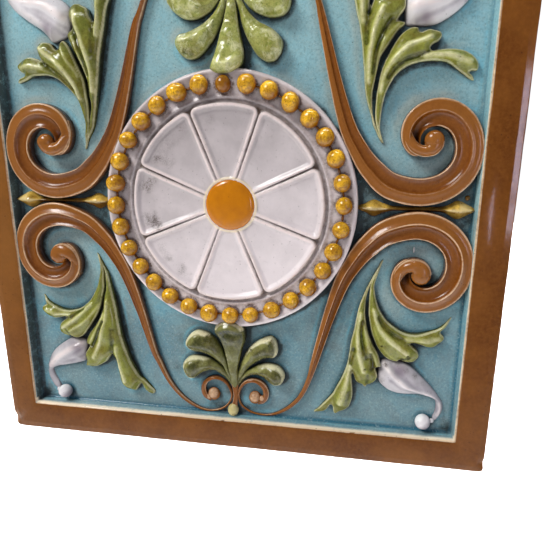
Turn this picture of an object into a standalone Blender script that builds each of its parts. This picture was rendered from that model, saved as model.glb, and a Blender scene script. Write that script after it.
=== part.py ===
"""Relief wall tile, pressed in one piece of clay and glazed in several colours.

The tile hangs upright as on its wall. Its back lies on Y = 0, its face looks along -Y, and the
origin is the centre of the back. The pattern is drawn once for the lower right quarter and
mirrored to the other three. Points of the pattern are in drawing millimetres from the centre.
"""
import math

import bmesh
import bpy
from mathutils import Vector

MM = 0.001

# The blank, in metres
TILE_WIDTH = 203.2 * MM         # side of the square, eight inches
GROUND_THICKNESS = 9.0 * MM     # back to the sunk ground
BORDER_RISE = 5.0 * MM          # ground to the face of the raised border
BORDER_WIDTH = 11.4 * MM        # border at its face
WALL_DRAFT = 1.2 * MM           # how far the border's inner walls lean, for the mould
OUTER_ROUND = 1.6 * MM          # softened outer edges and worn corners
INNER_ROUND = 0.6 * MM          # softened inner edge of the border
GROOVE_COUNT = 4                # key grooves in the back, for the mortar
GROOVE_WIDTH = 6.0 * MM
GROOVE_DEPTH = 1.5 * MM
GROOVE_MARGIN = 14.0 * MM       # groove ends to the tile's edge

# The relief, as heights above the sunk ground
FOOTING = 1.4 * MM              # how far the relief is rooted in the blank
SCROLL_RISE = 5.6 * MM
LEAF_RISE = 6.2 * MM
BUD_RISE = 4.4 * MM
PALMETTE_RISE = 5.8 * MM
SPIKE_RISE = 3.4 * MM
RING_RISE = 5.0 * MM            # bead ring, at its outer edge
PETAL_RISE = 6.6 * MM           # rim of a petal, at its outer end
PETAL_FALL = 1.4 * MM           # how much lower its rim is beside the button
PETAL_DISH = 1.1 * MM           # rim down to the petal's floor
PETAL_SEAT = 1.0 * MM           # a petal's floor down to the dish under the petals
PETAL_ROUND = 0.7 * MM          # rim down to its upright side
TRACK_DEPTH = 0.5 * MM          # how far the beads' track is sunk in its ring
BUTTON_RISE = 7.0 * MM

# The rosette, in drawing millimetres
ROSETTE_RADIUS = 48.3
RING_WIDTH = 9.6                # outer edge to the inner lip of the bead ring
RING_ROUND = 0.9                # softened outer edge and inner lip of the bead ring
BEAD_COUNT = 32
BEAD_GAP = 1.3                  # between neighbouring beads
BEAD_INSET = 5.1                # outer edge to the line of bead centres
BEAD_LIFT = 0.4                 # share of its radius that a bead's middle stands above the ring
PETAL_COUNT = 8
PETAL_GROOVE = 1.2              # between neighbouring petals, and between petals and ring
PETAL_RIM = 1.9                 # width of a petal's rounded rim
PETAL_CREST = 0.8               # a petal's edge to the top of its rim
PETAL_CORNER = 2.4              # round of a petal's outer corners
PETAL_FLOOR_CORNER = 0.4        # round left at the corners of a petal's floor, at the least
PETAL_TURN = 1.5                # degrees that the petals are turned from upright
BUTTON_RADIUS = 9.5

# The drawing: half of the opening inside the border, and how finely curves are followed
DRAWN_HALF = 90.2
SWEEP_STEPS = 4                 # steps tried between two drawn points of a stem or lobe
VOLUTE_STEPS = 8                # steps tried in a quarter turn of a volute
SWEEP_ERROR = 0.34              # a step is spared where the bar then strays less than this
CORNER_STEPS = 2                # steps in a petal's round corner
ARC_STEPS = 4                   # steps in a petal's outer arc
DOME_STEPS = 3                  # steps from the middle of the button to its edge
BALL_SIDES = 8
RING_SIDES = BEAD_COUNT         # one flat for each bead
SMOOTH_BELOW = 50               # degrees; edges that turn less are shaded as one round surface

# Volutes turn about their eyes; each row is degrees, radius, half width, share of the rise
SCROLL_EYE = (72.4, -23.2)
SCROLL_VOLUTE = [(90, 17.4, 5.0, 1.0), (0, 13.0, 4.9, 1.0), (-90, 10.0, 4.7, 1.0),
                 (-180, 6.9, 3.2, 0.95), (-270, 3.0, 1.8, 0.9), (-320, 1.6, 1.5, 0.85)]
CURL_EYE = (8.4, -79.8)
CURL_VOLUTE = [(-40, 4.2, 1.1, 0.5), (0, 5.4, 1.2, 0.5), (90, 7.6, 1.2, 0.5),
               (180, 6.7, 1.0, 0.45), (270, 8.3, 0.8, 0.4)]
# The ball at each eye: x, z, radius, share of the scroll's rise that its middle stands at
SCROLL_BALL = (72.2, -24.4, 3.7, 0.45)
CURL_BALL = (9.0, -79.8, 2.5, 0.15)
BALL_FLATNESS = 0.85
# The stem from curl to volute: x, z, half width, share of the rise
SCROLL_STEM = [(15.4, -87.6, 0.7, 0.4), (22.4, -83.6, 0.9, 0.45), (28.4, -75.4, 1.1, 0.5),
               (34.0, -61.8, 1.5, 0.6), (38.8, -43.4, 2.2, 0.75), (43.4, -28.8, 2.9, 0.9),
               (47.7, -20.6, 3.4, 0.95), (52.6, -14.0, 4.1, 1.0), (60.2, -8.0, 4.7, 1.0)]

# Lobes of the leaf spray: x, z, half width, share of the leaf's rise
INNER_LOBES = [
    [(58.2, -20.2, 0.3, 0.15), (54.6, -28.0, 1.0, 0.4), (52.0, -37.0, 1.8, 0.6), (50.8, -50.0, 3.1, 0.85),
     (52.4, -61.5, 4.5, 1.0), (54.0, -67.4, 3.9, 0.85), (54.2, -70.8, 1.6, 0.5)],
    [(53.4, -40.0, 0.8, 0.5), (55.2, -50.5, 1.8, 0.7), (57.3, -57.5, 2.0, 0.75), (58.3, -62.2, 1.0, 0.45)],
    [(49.8, -46.0, 1.3, 0.6), (47.4, -58.5, 2.4, 0.7), (45.7, -70.5, 3.3, 0.85), (44.9, -79.0, 3.7, 0.8),
     (43.8, -83.4, 1.5, 0.4)],
    [(43.6, -68.5, 0.8, 0.4), (40.2, -77.0, 1.3, 0.35), (37.6, -82.0, 1.2, 0.3), (34.8, -84.9, 0.4, 0.15)],
]
OUTER_LOBES = [
    [(57.9, -21.0, 0.3, 0.15), (56.0, -28.0, 0.8, 0.35), (55.1, -36.0, 1.2, 0.55), (57.8, -45.5, 2.8, 0.8),
     (63.6, -52.6, 3.8, 0.95), (69.4, -56.0, 3.6, 0.9), (72.9, -57.2, 1.5, 0.5)],
    [(54.9, -43.0, 0.9, 0.55), (57.4, -52.0, 1.8, 0.7), (61.4, -56.8, 2.0, 0.7), (65.8, -58.9, 1.0, 0.4)],
    [(56.2, -35.5, 0.9, 0.5), (61.2, -43.6, 1.6, 0.65), (68.8, -49.2, 2.1, 0.7), (76.4, -49.8, 2.8, 0.8),
     (82.4, -48.6, 1.1, 0.4)],
    [(74.0, -47.8, 0.8, 0.4), (80.0, -46.2, 1.2, 0.35), (82.8, -43.9, 0.8, 0.25), (84.8, -40.8, 0.3, 0.12)],
]
BUD = [(60.8, -62.4, 3.2, 0.6), (64.6, -65.4, 5.6, 1.0), (70.0, -67.9, 4.9, 1.0), (75.0, -70.4, 2.9, 0.85),
       (80.2, -72.9, 1.4, 0.65), (83.4, -77.0, 1.1, 0.5), (82.0, -82.4, 0.8, 0.35)]
# Pearl and drop bead: x, z, radius, share of the bud's rise that the middle stands at
BUD_PEARL = (77.4, -84.2, 3.2, 0.3)
DROP_BEAD = (0.0, -87.5, 2.5, 0.2)

# Lobes of the palmette's middle and right half, drawn for the lower one
PALMETTE_MIDDLE = [(0.0, -75.5, 0.6, 0.35), (0.0, -67.0, 1.6, 0.5), (0.0, -59.0, 3.6, 0.75),
                   (0.0, -54.0, 5.5, 1.05), (0.0, -51.0, 6.3, 1.15), (0.0, -48.0, 5.2, 1.25),
                   (0.0, -46.2, 2.4, 1.2)]
PALMETTE_LOBES = [
    [(0.9, -74.0, 0.6, 0.3), (3.6, -66.8, 1.4, 0.5), (8.2, -60.6, 3.2, 0.75), (13.8, -57.4, 4.4, 0.85),
     (18.8, -57.2, 1.6, 0.5)],
    [(2.2, -74.8, 0.6, 0.3), (7.0, -70.3, 1.3, 0.45), (12.8, -68.0, 3.0, 0.75), (18.2, -69.2, 4.2, 0.85),
     (21.6, -71.0, 1.6, 0.45)],
]
# Side spikes: half width and share of the rise along the bar, from the border to the ring
SPIKE = [(90.0, 0.4, 0.5), (83.4, 3.3, 1.0), (76.0, 0.9, 0.6), (61.0, 0.8, 0.6), (54.0, 3.1, 0.95),
         (47.8, 0.5, 0.6)]

# Sections, from the left of the run to its right: share of the half width, share of the rise.
# The first and last points of each go down to the footing, below upright walls.
BAND_SECTION = [(1.0, 0.0), (1.0, 0.72), (0.2, 1.0), (-0.06, 0.70), (-1.0, 0.74), (-1.0, 0.0)]
LEAF_SECTION = [(0.94, 0.0), (0.94, 0.5), (0.0, 1.0), (-0.94, 0.5), (-0.94, 0.0)]
PALMETTE_SECTION = [(0.96, 0.0), (0.96, 0.76), (0.0, 1.0), (-0.96, 0.76), (-0.96, 0.0)]
SPIKE_SECTION = [(1.0, 0.0), (1.0, 0.12), (0.0, 1.0), (-1.0, 0.12), (-1.0, 0.0)]

# Glaze colours: colour, roughness
GLAZES = {
    "brown_glaze": ((0.27, 0.095, 0.020), 0.18),
    "turquoise_glaze": ((0.19, 0.37, 0.41), 0.18),
    "green_glaze": ((0.27, 0.33, 0.08), 0.2),
    "white_glaze": ((0.62, 0.58, 0.60), 0.2),
    "amber_glaze": ((0.60, 0.27, 0.015), 0.18),
    "cream_glaze": ((0.68, 0.58, 0.32), 0.2),
}


def drawing_scale():
    """Metres for one drawing millimetre: the drawing fills the opening inside the border."""
    return (TILE_WIDTH / 2 - BORDER_WIDTH) / DRAWN_HALF


def at(x, z, rise):
    """A point of the pattern in the tile's own frame, that rise above the ground."""
    scale = drawing_scale()
    return Vector((x * scale, -(GROUND_THICKNESS + rise), z * scale))


def glaze(name):
    """The glaze of that name, as a plain glossy material."""
    colour, roughness = GLAZES[name]
    material = bpy.data.materials.new(name)
    material.use_nodes = True
    shader = material.node_tree.nodes["Principled BSDF"]
    shader.inputs["Base Color"].default_value = (*colour, 1.0)
    shader.inputs["Roughness"].default_value = roughness
    shader.inputs["Metallic"].default_value = 0.0
    return material


def smooth_rows(keys, steps):
    """Rows of numbers on a smooth curve through the drawn rows, with that many steps between two."""
    rows = []
    padded = [keys[0], *keys, keys[-1]]
    for before, start, end, after in zip(padded, padded[1:], padded[2:], padded[3:]):
        for step in range(steps):
            t = step / steps
            rows.append([
                0.5 * (2 * q + (r - p) * t + (2 * p - 5 * q + 4 * r - s) * t ** 2
                       + (3 * q - p - 3 * r + s) * t ** 3)
                for p, q, r, s in zip(before, start, end, after)])
    rows.append(list(keys[-1]))
    return rows


def volute_rows(eye, keys):
    """Rows x, z, half width, rise share along a volute drawn by its radius at a few angles."""
    rows = []
    for degrees, radius, half_width, share in smooth_rows(keys, VOLUTE_STEPS):
        turn = math.radians(degrees)
        rows.append([eye[0] + radius * math.cos(turn), eye[1] + radius * math.sin(turn), half_width, share])
    return rows


def strays(first, last, row, rise):
    """How far the row lies from the straight bar between two others, in drawing millimetres."""
    start, end, here = Vector(first[:2]), Vector(last[:2]), Vector(row[:2])
    along = (here - start).dot(end - start) / (end - start).length_squared
    off_line = (here - start.lerp(end, along)).length
    off_width = abs(row[2] - first[2] - (last[2] - first[2]) * along)
    off_rise = abs(row[3] - first[3] - (last[3] - first[3]) * along) * rise / MM
    return off_line + max(off_width, off_rise)


def spared_rows(rows, rise):
    """Leaves out the rows that a straight bar between their neighbours replaces well enough."""
    kept = [0]
    for index in range(2, len(rows)):
        between = rows[kept[-1] + 1:index]
        if max(strays(rows[kept[-1]], rows[index], row, rise) for row in between) > SWEEP_ERROR:
            kept.append(index - 1)
    kept.append(len(rows) - 1)
    return [rows[index] for index in kept]


def sweep(bm, rows, section, rise):
    """A closed bar along the rows, with the section set square to its run."""
    rows = spared_rows(rows, rise)
    rings = []
    for index, (x, z, half_width, share) in enumerate(rows):
        ahead = rows[min(index + 1, len(rows) - 1)]
        behind = rows[max(index - 1, 0)]
        run = Vector((ahead[0] - behind[0], ahead[1] - behind[1])).normalized()
        ring = []
        for across, height in section:
            lift = height * share * rise if height else -FOOTING
            offset = across * half_width
            ring.append(bm.verts.new(at(x - run.y * offset, z + run.x * offset, lift)))
        rings.append(ring)
    for here, there in zip(rings, rings[1:]):
        for side in range(len(section)):
            bm.faces.new((here[side - 1], here[side], there[side], there[side - 1]))
    bm.faces.new(rings[0])
    bm.faces.new(rings[-1])


def ball(bm, x, z, radius, lift, flatness=1.0):
    """A ball of that radius whose middle is that far above the ground."""
    verts = bmesh.ops.create_uvsphere(bm, u_segments=BALL_SIDES, v_segments=BALL_SIDES // 2,
                                      radius=radius * drawing_scale())["verts"]
    centre = at(x, z, lift)
    for vert in verts:
        across, up, out = vert.co
        vert.co = centre + Vector((across, -out * flatness, up))


def mirrored(bm, left=True, top=True):
    """Repeats what is drawn on the right and below, on the left and above."""
    for wanted, axis in ((left, Vector((-1, 1, 1))), (top, Vector((1, 1, -1)))):
        if wanted:
            copy = bmesh.ops.duplicate(bm, geom=bm.verts[:] + bm.edges[:] + bm.faces[:])["geom"]
            verts = [item for item in copy if isinstance(item, bmesh.types.BMVert)]
            bmesh.ops.scale(bm, vec=axis, verts=verts)


def to_object(bm, name, material, collection, smooth=True):
    """Makes the mesh an object with its faces pointing out, its round forms shaded smooth."""
    bmesh.ops.recalc_face_normals(bm, faces=bm.faces)
    mesh = bpy.data.meshes.new(name)
    bm.to_mesh(mesh)
    bm.free()
    mesh.materials.append(material)
    if smooth:
        mesh.shade_smooth()
        mesh.set_sharp_from_angle(angle=math.radians(SMOOTH_BELOW))
    thing = bpy.data.objects.new(name, mesh)
    collection.objects.link(thing)
    return thing


def make_blank(glazes, collection):
    """The square slab with its sunk ground; its back edges stay square and its face edges are soft."""
    bm = bmesh.new()
    thickness = GROUND_THICKNESS + BORDER_RISE
    bmesh.ops.create_cube(bm, size=1.0)
    bmesh.ops.scale(bm, vec=(TILE_WIDTH, thickness, TILE_WIDTH), verts=bm.verts)
    bmesh.ops.translate(bm, vec=(0, -thickness / 2, 0), verts=bm.verts)
    soft = [edge for edge in bm.edges if min(vert.co.y for vert in edge.verts) < -thickness / 2]
    bmesh.ops.bevel(bm, geom=soft, offset=OUTER_ROUND, offset_type="OFFSET", segments=3, profile=0.5,
                    affect="EDGES", material=-1)
    # The opening: inner edge softened, then the leaning wall down to the ground
    half = TILE_WIDTH / 2 - BORDER_WIDTH
    face = min(bm.faces, key=lambda f: f.calc_center_median().y)
    flat_width = BORDER_WIDTH - OUTER_ROUND - INNER_ROUND
    bmesh.ops.inset_region(bm, faces=[face], thickness=flat_width, use_even_offset=True)
    face = min((f for f in bm.faces if f.normal.y < -0.99), key=lambda f: f.calc_center_median().length)
    inward = ((INNER_ROUND, INNER_ROUND), (WALL_DRAFT, BORDER_RISE - INNER_ROUND))
    for lean, drop in inward:
        extruded = bmesh.ops.extrude_discrete_faces(bm, faces=[face])["faces"]
        face = extruded[0]
        bmesh.ops.translate(bm, vec=(0, drop, 0), verts=face.verts)
        shrink = 1.0 - lean / half
        bmesh.ops.scale(bm, vec=(shrink, 1.0, shrink), verts=face.verts)
    blank = to_object(bm, "tile", glazes["brown_glaze"], collection, smooth=False)
    blank.data.materials.append(glazes["turquoise_glaze"])
    for polygon in blank.data.polygons:
        inside = max(abs(polygon.center.x), abs(polygon.center.z)) < half
        if inside and polygon.center.y < -GROUND_THICKNESS / 2:
            polygon.material_index = 1
    return blank


def make_grooves(glazes, collection):
    """Cutters for the upright key grooves, evenly spread over the back with a land down the middle."""
    bm = bmesh.new()
    pitch = TILE_WIDTH / (GROOVE_COUNT + 1)
    for index in range(GROOVE_COUNT):
        middle = (index - (GROOVE_COUNT - 1) / 2) * pitch
        cutter = bmesh.ops.create_cube(bm, size=1.0)["verts"]
        size = (GROOVE_WIDTH, 2 * GROOVE_DEPTH, TILE_WIDTH - 2 * GROOVE_MARGIN)
        bmesh.ops.scale(bm, vec=size, verts=cutter)
        bmesh.ops.translate(bm, vec=(middle, 0, 0), verts=cutter)
    return to_object(bm, "key_groove_cutters", glazes["brown_glaze"], collection, smooth=False)


def make_scrolls(glazes, collection):
    """The four scrolls, each one band from its small curl up the stem and round the volute."""
    bm = bmesh.new()
    curl = volute_rows(CURL_EYE, CURL_VOLUTE)
    volute = volute_rows(SCROLL_EYE, SCROLL_VOLUTE)
    stem = smooth_rows([tuple(curl[-1]), *SCROLL_STEM, tuple(volute[0])], SWEEP_STEPS)
    sweep(bm, curl[:-1] + stem[:-1] + volute, BAND_SECTION, SCROLL_RISE)
    mirrored(bm)
    to_object(bm, "scrolls", glazes["brown_glaze"], collection)


def make_balls(glazes, collection):
    """The ball at the eye of each volute and curl."""
    bm = bmesh.new()
    for x, z, radius, share in (SCROLL_BALL, CURL_BALL):
        ball(bm, x, z, radius, SCROLL_RISE * share, BALL_FLATNESS)
    mirrored(bm)
    to_object(bm, "volute_balls", glazes["brown_glaze"], collection)


def make_lobes(name, lobes, section, rise, material, collection, left=True):
    """One object for each lobe, with its mirrored copies."""
    for index, keys in enumerate(lobes):
        bm = bmesh.new()
        sweep(bm, smooth_rows(keys, SWEEP_STEPS), section, rise)
        mirrored(bm, left)
        to_object(bm, f"{name}_{index + 1}", material, collection)


def make_pearls(glazes, collection):
    """The pearl below each bud, and the bead under the palmette."""
    bm = bmesh.new()
    x, z, radius, share = BUD_PEARL
    ball(bm, x, z, radius, BUD_RISE * share)
    mirrored(bm)
    to_object(bm, "bud_pearls", glazes["white_glaze"], collection)
    bm = bmesh.new()
    x, z, radius, share = DROP_BEAD
    ball(bm, x, z, radius, BUD_RISE * share)
    mirrored(bm, left=False)
    to_object(bm, "drop_beads", glazes["cream_glaze"], collection)


def make_spikes(glazes, collection):
    """The pointed bars between the rosette and the border."""
    bm = bmesh.new()
    rows = [[x, 0.0, half_width, share] for x, half_width, share in SPIKE]
    sweep(bm, rows, SPIKE_SECTION, SPIKE_RISE)
    mirrored(bm, top=False)
    to_object(bm, "spikes", glazes["amber_glaze"], collection)


def turned(bm, profile, steps):
    """A body turned about the rosette's axis, from a profile of radius and rise that ends on it twice."""
    start = math.pi / steps
    across, up = math.sin(start), math.cos(start)
    verts = [bm.verts.new(at(radius * across, radius * up, rise)) for radius, rise in profile]
    edges = [bm.edges.new(pair) for pair in zip(verts, verts[1:])]
    bmesh.ops.spin(bm, geom=verts + edges, cent=(0, 0, 0), axis=(0, 1, 0), angle=math.tau, steps=steps,
                   use_merge=True)
    bmesh.ops.remove_doubles(bm, verts=bm.verts, dist=0.01 * MM)


def ring_lip():
    """Radius of the bead ring's inner lip."""
    return ROSETTE_RADIUS - RING_WIDTH


def make_ring(glazes, collection):
    """The round dish under petals and beads, turned about the rosette's axis."""
    lip = ring_lip()
    dish = PETAL_RISE - PETAL_DISH - PETAL_FALL - PETAL_SEAT
    profile = [(0.0, dish), (lip - PETAL_GROOVE, dish), (lip, RING_RISE),
               (lip + RING_ROUND, RING_RISE - TRACK_DEPTH), (ROSETTE_RADIUS - RING_ROUND, RING_RISE),
               (ROSETTE_RADIUS, RING_RISE - RING_ROUND * MM), (ROSETTE_RADIUS, -FOOTING), (0.0, -FOOTING)]
    bm = bmesh.new()
    turned(bm, profile, RING_SIDES)
    to_object(bm, "rosette_ring", glazes["white_glaze"], collection)


def petal_outline(inset):
    """The upright petal's outline, drawn in by that much, as x, z and share of the outer radius."""
    outer = ring_lip() - PETAL_GROOVE - inset
    inner = BUTTON_RADIUS + PETAL_GROOVE / 2 + inset
    gap = PETAL_GROOVE / 2 + inset
    half_turn = math.pi / PETAL_COUNT
    # The corner's arc, seen along the groove beside the petal
    corner = max(PETAL_CORNER - inset, PETAL_FLOOR_CORNER)
    aside = gap + corner
    along = math.sqrt((outer - corner) ** 2 - aside ** 2)
    last = math.atan2(aside, along)
    corner_points = []
    for step in range(CORNER_STEPS + 1):
        turn = last - (last + math.pi / 2) * (1 - step / CORNER_STEPS)
        point = Vector((along + corner * math.cos(turn), aside + corner * math.sin(turn)))
        corner_points.append((point.length, half_turn - math.atan2(point.y, point.x)))
    end = corner_points[-1][1]
    points = corner_points[:]
    points += [(outer, end * (1 - 2 * step / ARC_STEPS)) for step in range(1, ARC_STEPS)]
    points += [(radius, -turn) for radius, turn in reversed(corner_points)]
    inner_turn = half_turn - math.asin(gap / inner)
    points += [(inner, inner_turn * share) for share in (-1, 0, 1)]
    return [(radius * math.sin(turn), radius * math.cos(turn), radius / outer) for radius, turn in points]


def make_petals(glazes, collection):
    """The dished petals, each with a rounded rim that sinks towards the button."""
    bm = bmesh.new()
    levels = ((0.0, None), (0.0, -PETAL_ROUND), (PETAL_CREST, 0.0), (PETAL_RIM, -PETAL_DISH))
    for index in range(PETAL_COUNT):
        turn = math.tau * index / PETAL_COUNT - math.radians(PETAL_TURN)
        rings = []
        for inset, drop in levels:
            ring = []
            for x, z, share in petal_outline(inset):
                rise = -FOOTING if drop is None else PETAL_RISE - PETAL_FALL * (1 - share) + drop
                across = x * math.cos(turn) - z * math.sin(turn)
                up = x * math.sin(turn) + z * math.cos(turn)
                ring.append(bm.verts.new(at(across, up, rise)))
            rings.append(ring)
        for low, high in zip(rings, rings[1:]):
            for side in range(len(low)):
                bm.faces.new((low[side - 1], low[side], high[side], high[side - 1]))
        bm.faces.new(rings[0])
        bm.faces.new(rings[-1])
    bmesh.ops.triangulate(bm, faces=bm.faces)
    to_object(bm, "petals", glazes["white_glaze"], collection)


def make_beads(glazes, collection):
    """The string of beads round the rosette, as large as the gap between them leaves."""
    bm = bmesh.new()
    ring = ROSETTE_RADIUS - BEAD_INSET
    radius = ring * math.sin(math.pi / BEAD_COUNT) - BEAD_GAP / 2
    for index in range(BEAD_COUNT):
        turn = math.tau * index / BEAD_COUNT
        lift = RING_RISE + BEAD_LIFT * radius * drawing_scale()
        ball(bm, ring * math.sin(turn), ring * math.cos(turn), radius, lift)
    to_object(bm, "beads", glazes["amber_glaze"], collection)


def make_button(glazes, collection):
    """The domed button at the middle of the rosette."""
    base = PETAL_RISE - PETAL_FALL - PETAL_DISH
    bm = bmesh.new()
    profile = []
    for step in range(DOME_STEPS + 1):
        turn = step / DOME_STEPS * math.pi / 2
        profile.append((BUTTON_RADIUS * math.sin(turn), base + (BUTTON_RISE - base) * math.cos(turn)))
    profile += [(BUTTON_RADIUS, 0.0), (0.0, 0.0)]
    turned(bm, profile, RING_SIDES // 2)
    to_object(bm, "button", glazes["amber_glaze"], collection)


def fuse(blank, relief, cutter):
    """Makes blank and relief one body and cuts its back."""
    for thing in [*relief.objects, cutter]:
        thing.hide_render = True
        thing.display_type = "WIRE"
    union = blank.modifiers.new("relief", "BOOLEAN")
    union.operation = "UNION"
    union.operand_type = "COLLECTION"
    union.collection = relief
    union.solver = "EXACT"
    union.material_mode = "TRANSFER"
    cut = blank.modifiers.new("key_grooves", "BOOLEAN")
    cut.operation = "DIFFERENCE"
    cut.object = cutter
    cut.solver = "EXACT"
    cut.material_mode = "TRANSFER"


def main():
    for thing in list(bpy.data.objects):
        bpy.data.objects.remove(thing, do_unlink=True)
    scene = bpy.context.scene.collection
    relief = bpy.data.collections.new("relief")
    scene.children.link(relief)
    glazes = {name: glaze(name) for name in GLAZES}
    blank = make_blank(glazes, scene)
    cutter = make_grooves(glazes, scene)
    make_scrolls(glazes, relief)
    make_balls(glazes, relief)
    green = glazes["green_glaze"]
    make_lobes("inner_leaf", INNER_LOBES, LEAF_SECTION, LEAF_RISE, green, relief)
    make_lobes("outer_leaf", OUTER_LOBES, LEAF_SECTION, LEAF_RISE, green, relief)
    make_lobes("bud", [BUD], LEAF_SECTION, BUD_RISE, glazes["white_glaze"], relief)
    make_lobes("palmette_middle", [PALMETTE_MIDDLE], PALMETTE_SECTION, PALMETTE_RISE, green, relief,
               left=False)
    make_lobes("palmette_side", PALMETTE_LOBES, PALMETTE_SECTION, PALMETTE_RISE, green, relief)
    make_pearls(glazes, relief)
    make_spikes(glazes, relief)
    make_ring(glazes, relief)
    make_petals(glazes, relief)
    make_beads(glazes, relief)
    make_button(glazes, relief)
    fuse(blank, relief, cutter)


main()
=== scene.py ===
"""The look of the relief wall tile: glazed clay in six colours, as it came out of one mould.

Places on the tile are drawn in millimetres from its centre, x to the right and z up, and heights
are millimetres above the sunk ground. The face looks along -Y.
"""
import math

import bmesh
import bpy
import numpy as np
from mathutils import Matrix, Vector, noise


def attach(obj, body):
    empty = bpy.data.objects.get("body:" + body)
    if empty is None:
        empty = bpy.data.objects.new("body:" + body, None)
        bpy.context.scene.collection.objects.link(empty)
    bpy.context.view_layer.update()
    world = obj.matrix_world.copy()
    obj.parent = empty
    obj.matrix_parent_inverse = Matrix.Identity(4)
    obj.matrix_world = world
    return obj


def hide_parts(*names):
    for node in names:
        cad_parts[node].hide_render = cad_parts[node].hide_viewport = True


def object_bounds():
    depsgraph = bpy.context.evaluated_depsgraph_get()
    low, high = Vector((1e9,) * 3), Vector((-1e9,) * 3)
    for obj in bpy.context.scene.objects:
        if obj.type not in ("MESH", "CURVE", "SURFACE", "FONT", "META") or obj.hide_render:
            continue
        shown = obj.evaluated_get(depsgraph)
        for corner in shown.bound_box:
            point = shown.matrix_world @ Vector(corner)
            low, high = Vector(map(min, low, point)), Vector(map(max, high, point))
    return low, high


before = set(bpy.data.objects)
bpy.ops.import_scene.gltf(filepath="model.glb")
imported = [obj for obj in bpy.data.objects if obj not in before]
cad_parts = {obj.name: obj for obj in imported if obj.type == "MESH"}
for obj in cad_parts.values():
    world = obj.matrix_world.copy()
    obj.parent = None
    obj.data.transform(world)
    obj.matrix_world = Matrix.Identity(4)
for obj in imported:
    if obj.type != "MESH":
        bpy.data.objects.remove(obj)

cad_low, cad_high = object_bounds()

MM = 0.001
SIDE = (cad_high[0] - cad_low[0]) / MM      # side of the square tile
GROUND = 9.0          # back of the tile to its sunk ground
SUNK = 1.0            # how far each form is rooted in the ground
WELD = 0.004          # points closer than this become one
SLAB = 3.0            # a slab of clay before its form is worked
CLAY_CELL = 0.34      # grain of the worked clay
MAP_CELL = 0.4        # grain of the maps of the relief
MAP_HALF = 104.0      # how far the maps reach from the middle
QUARTERS = [(side, up) for side in (-1, 1) for up in (-1, 1)]


# Drawing tools

def unit(value):
    """Kept between 0 and 1."""
    return np.clip(value, 0, 1)


def smooth_rows(keys, steps, closed=False):
    """Rows on a smooth curve through the drawn rows."""
    keys = np.array(keys, float)
    if closed:
        padded = np.vstack([keys[-1:], keys, keys[:2]])
        spans = len(keys)
    else:
        padded = np.vstack([keys[:1], keys, keys[-1:]])
        spans = len(keys) - 1
    t = (np.arange(steps) / steps)[:, None]
    rows = []
    for i in range(spans):
        p, q, r, s = padded[i:i + 4]
        rows.append(0.5 * (2 * q + (r - p) * t + (2 * p - 5 * q + 4 * r - s) * t ** 2
                           + (3 * q - p - 3 * r + s) * t ** 3))
    if not closed:
        rows.append(keys[-1:])
    return np.vstack(rows)


def even_rows(rows, spacing):
    """The same curve with its rows evenly spaced."""
    run = np.concatenate([[0], np.cumsum(np.hypot(*np.diff(rows[:, :2], axis=0).T))])
    wanted = np.linspace(0, run[-1], max(int(run[-1] / spacing), 4) + 1)
    return np.column_stack([np.interp(wanted, run, column) for column in rows.T])


def away_from(x, z, line, closed=False):
    """Distance of each place from a line of points."""
    line = np.array(line, float)
    if closed:
        line = np.vstack([line, line[:1]])
    best = np.full(len(x), 1e9)
    for (ax, az), (bx, bz) in zip(line[:-1], line[1:]):
        dx, dz = bx - ax, bz - az
        t = unit(((x - ax) * dx + (z - az) * dz) / max(dx * dx + dz * dz, 1e-9))
        best = np.minimum(best, np.hypot(x - ax - t * dx, z - az - t * dz))
    return best


def step_up(value, low, high):
    """A soft step from 0 to 1."""
    t = unit((value - low) / (high - low))
    return t * t * (3 - 2 * t)


def hump(value, middle, width):
    """A soft hump, 1 where the value meets its middle."""
    return np.exp(-((value - middle) / width) ** 2)


def spot(x, z, at_x, at_z, reach):
    """A soft round spot, 1 at its middle."""
    return np.exp(-((x - at_x) ** 2 + (z - at_z) ** 2) / reach ** 2)


def roll_off(share):
    """The fall of a rounded brink, 0 at its top and 1 at its foot."""
    return 1 - np.sqrt(1 - share ** 2)


def waver(x, z, size, seed):
    """Smooth seeded unevenness from -1 to 1."""
    return np.array([noise.noise((a / size + seed, b / size, 3.7 * seed)) for a, b in zip(x, z)])


def sheet(columns, rows):
    """A flat sheet of quads, and how far across and along it each point lies."""
    bm = bmesh.new()
    bmesh.ops.create_grid(bm, x_segments=columns, y_segments=rows, size=0.5)
    spots = np.array([vert.co[:2] for vert in bm.verts]) + 0.5
    return bm, spots[:, 0], spots[:, 1]


def lay_along(rows, columns):
    """A sheet to be laid along rows: the column and row of each point, and how the rows run there."""
    bm, u, v = sheet(columns, len(rows) - 1)
    run = np.gradient(rows[:, :2], axis=0)
    run /= np.hypot(*run.T)[:, None]
    row = np.rint(v * (len(rows) - 1)).astype(int)
    return bm, np.rint(u * columns).astype(int), row, run[row]


def settle(bm, x, z, height):
    """Puts the points of a mesh at their places on the tile."""
    for vert, a, b, c in zip(bm.verts, x, z, height):
        vert.co = (a * MM, -(GROUND + c) * MM, b * MM)


def verts_of(geom):
    return [item for item in geom if isinstance(item, bmesh.types.BMVert)]


def fill_holes(bm):
    bmesh.ops.holes_fill(bm, edges=[edge for edge in bm.edges if edge.is_boundary])


def link(name, data):
    """A new object of the scene."""
    made = bpy.data.objects.new(name, data)
    bpy.context.scene.collection.objects.link(made)
    return made


def turned_to_mesh(bm, name):
    """The finished bmesh as a mesh."""
    mesh = bpy.data.meshes.new(name)
    bm.to_mesh(mesh)
    bm.free()
    return mesh


PIECES = []


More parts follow.
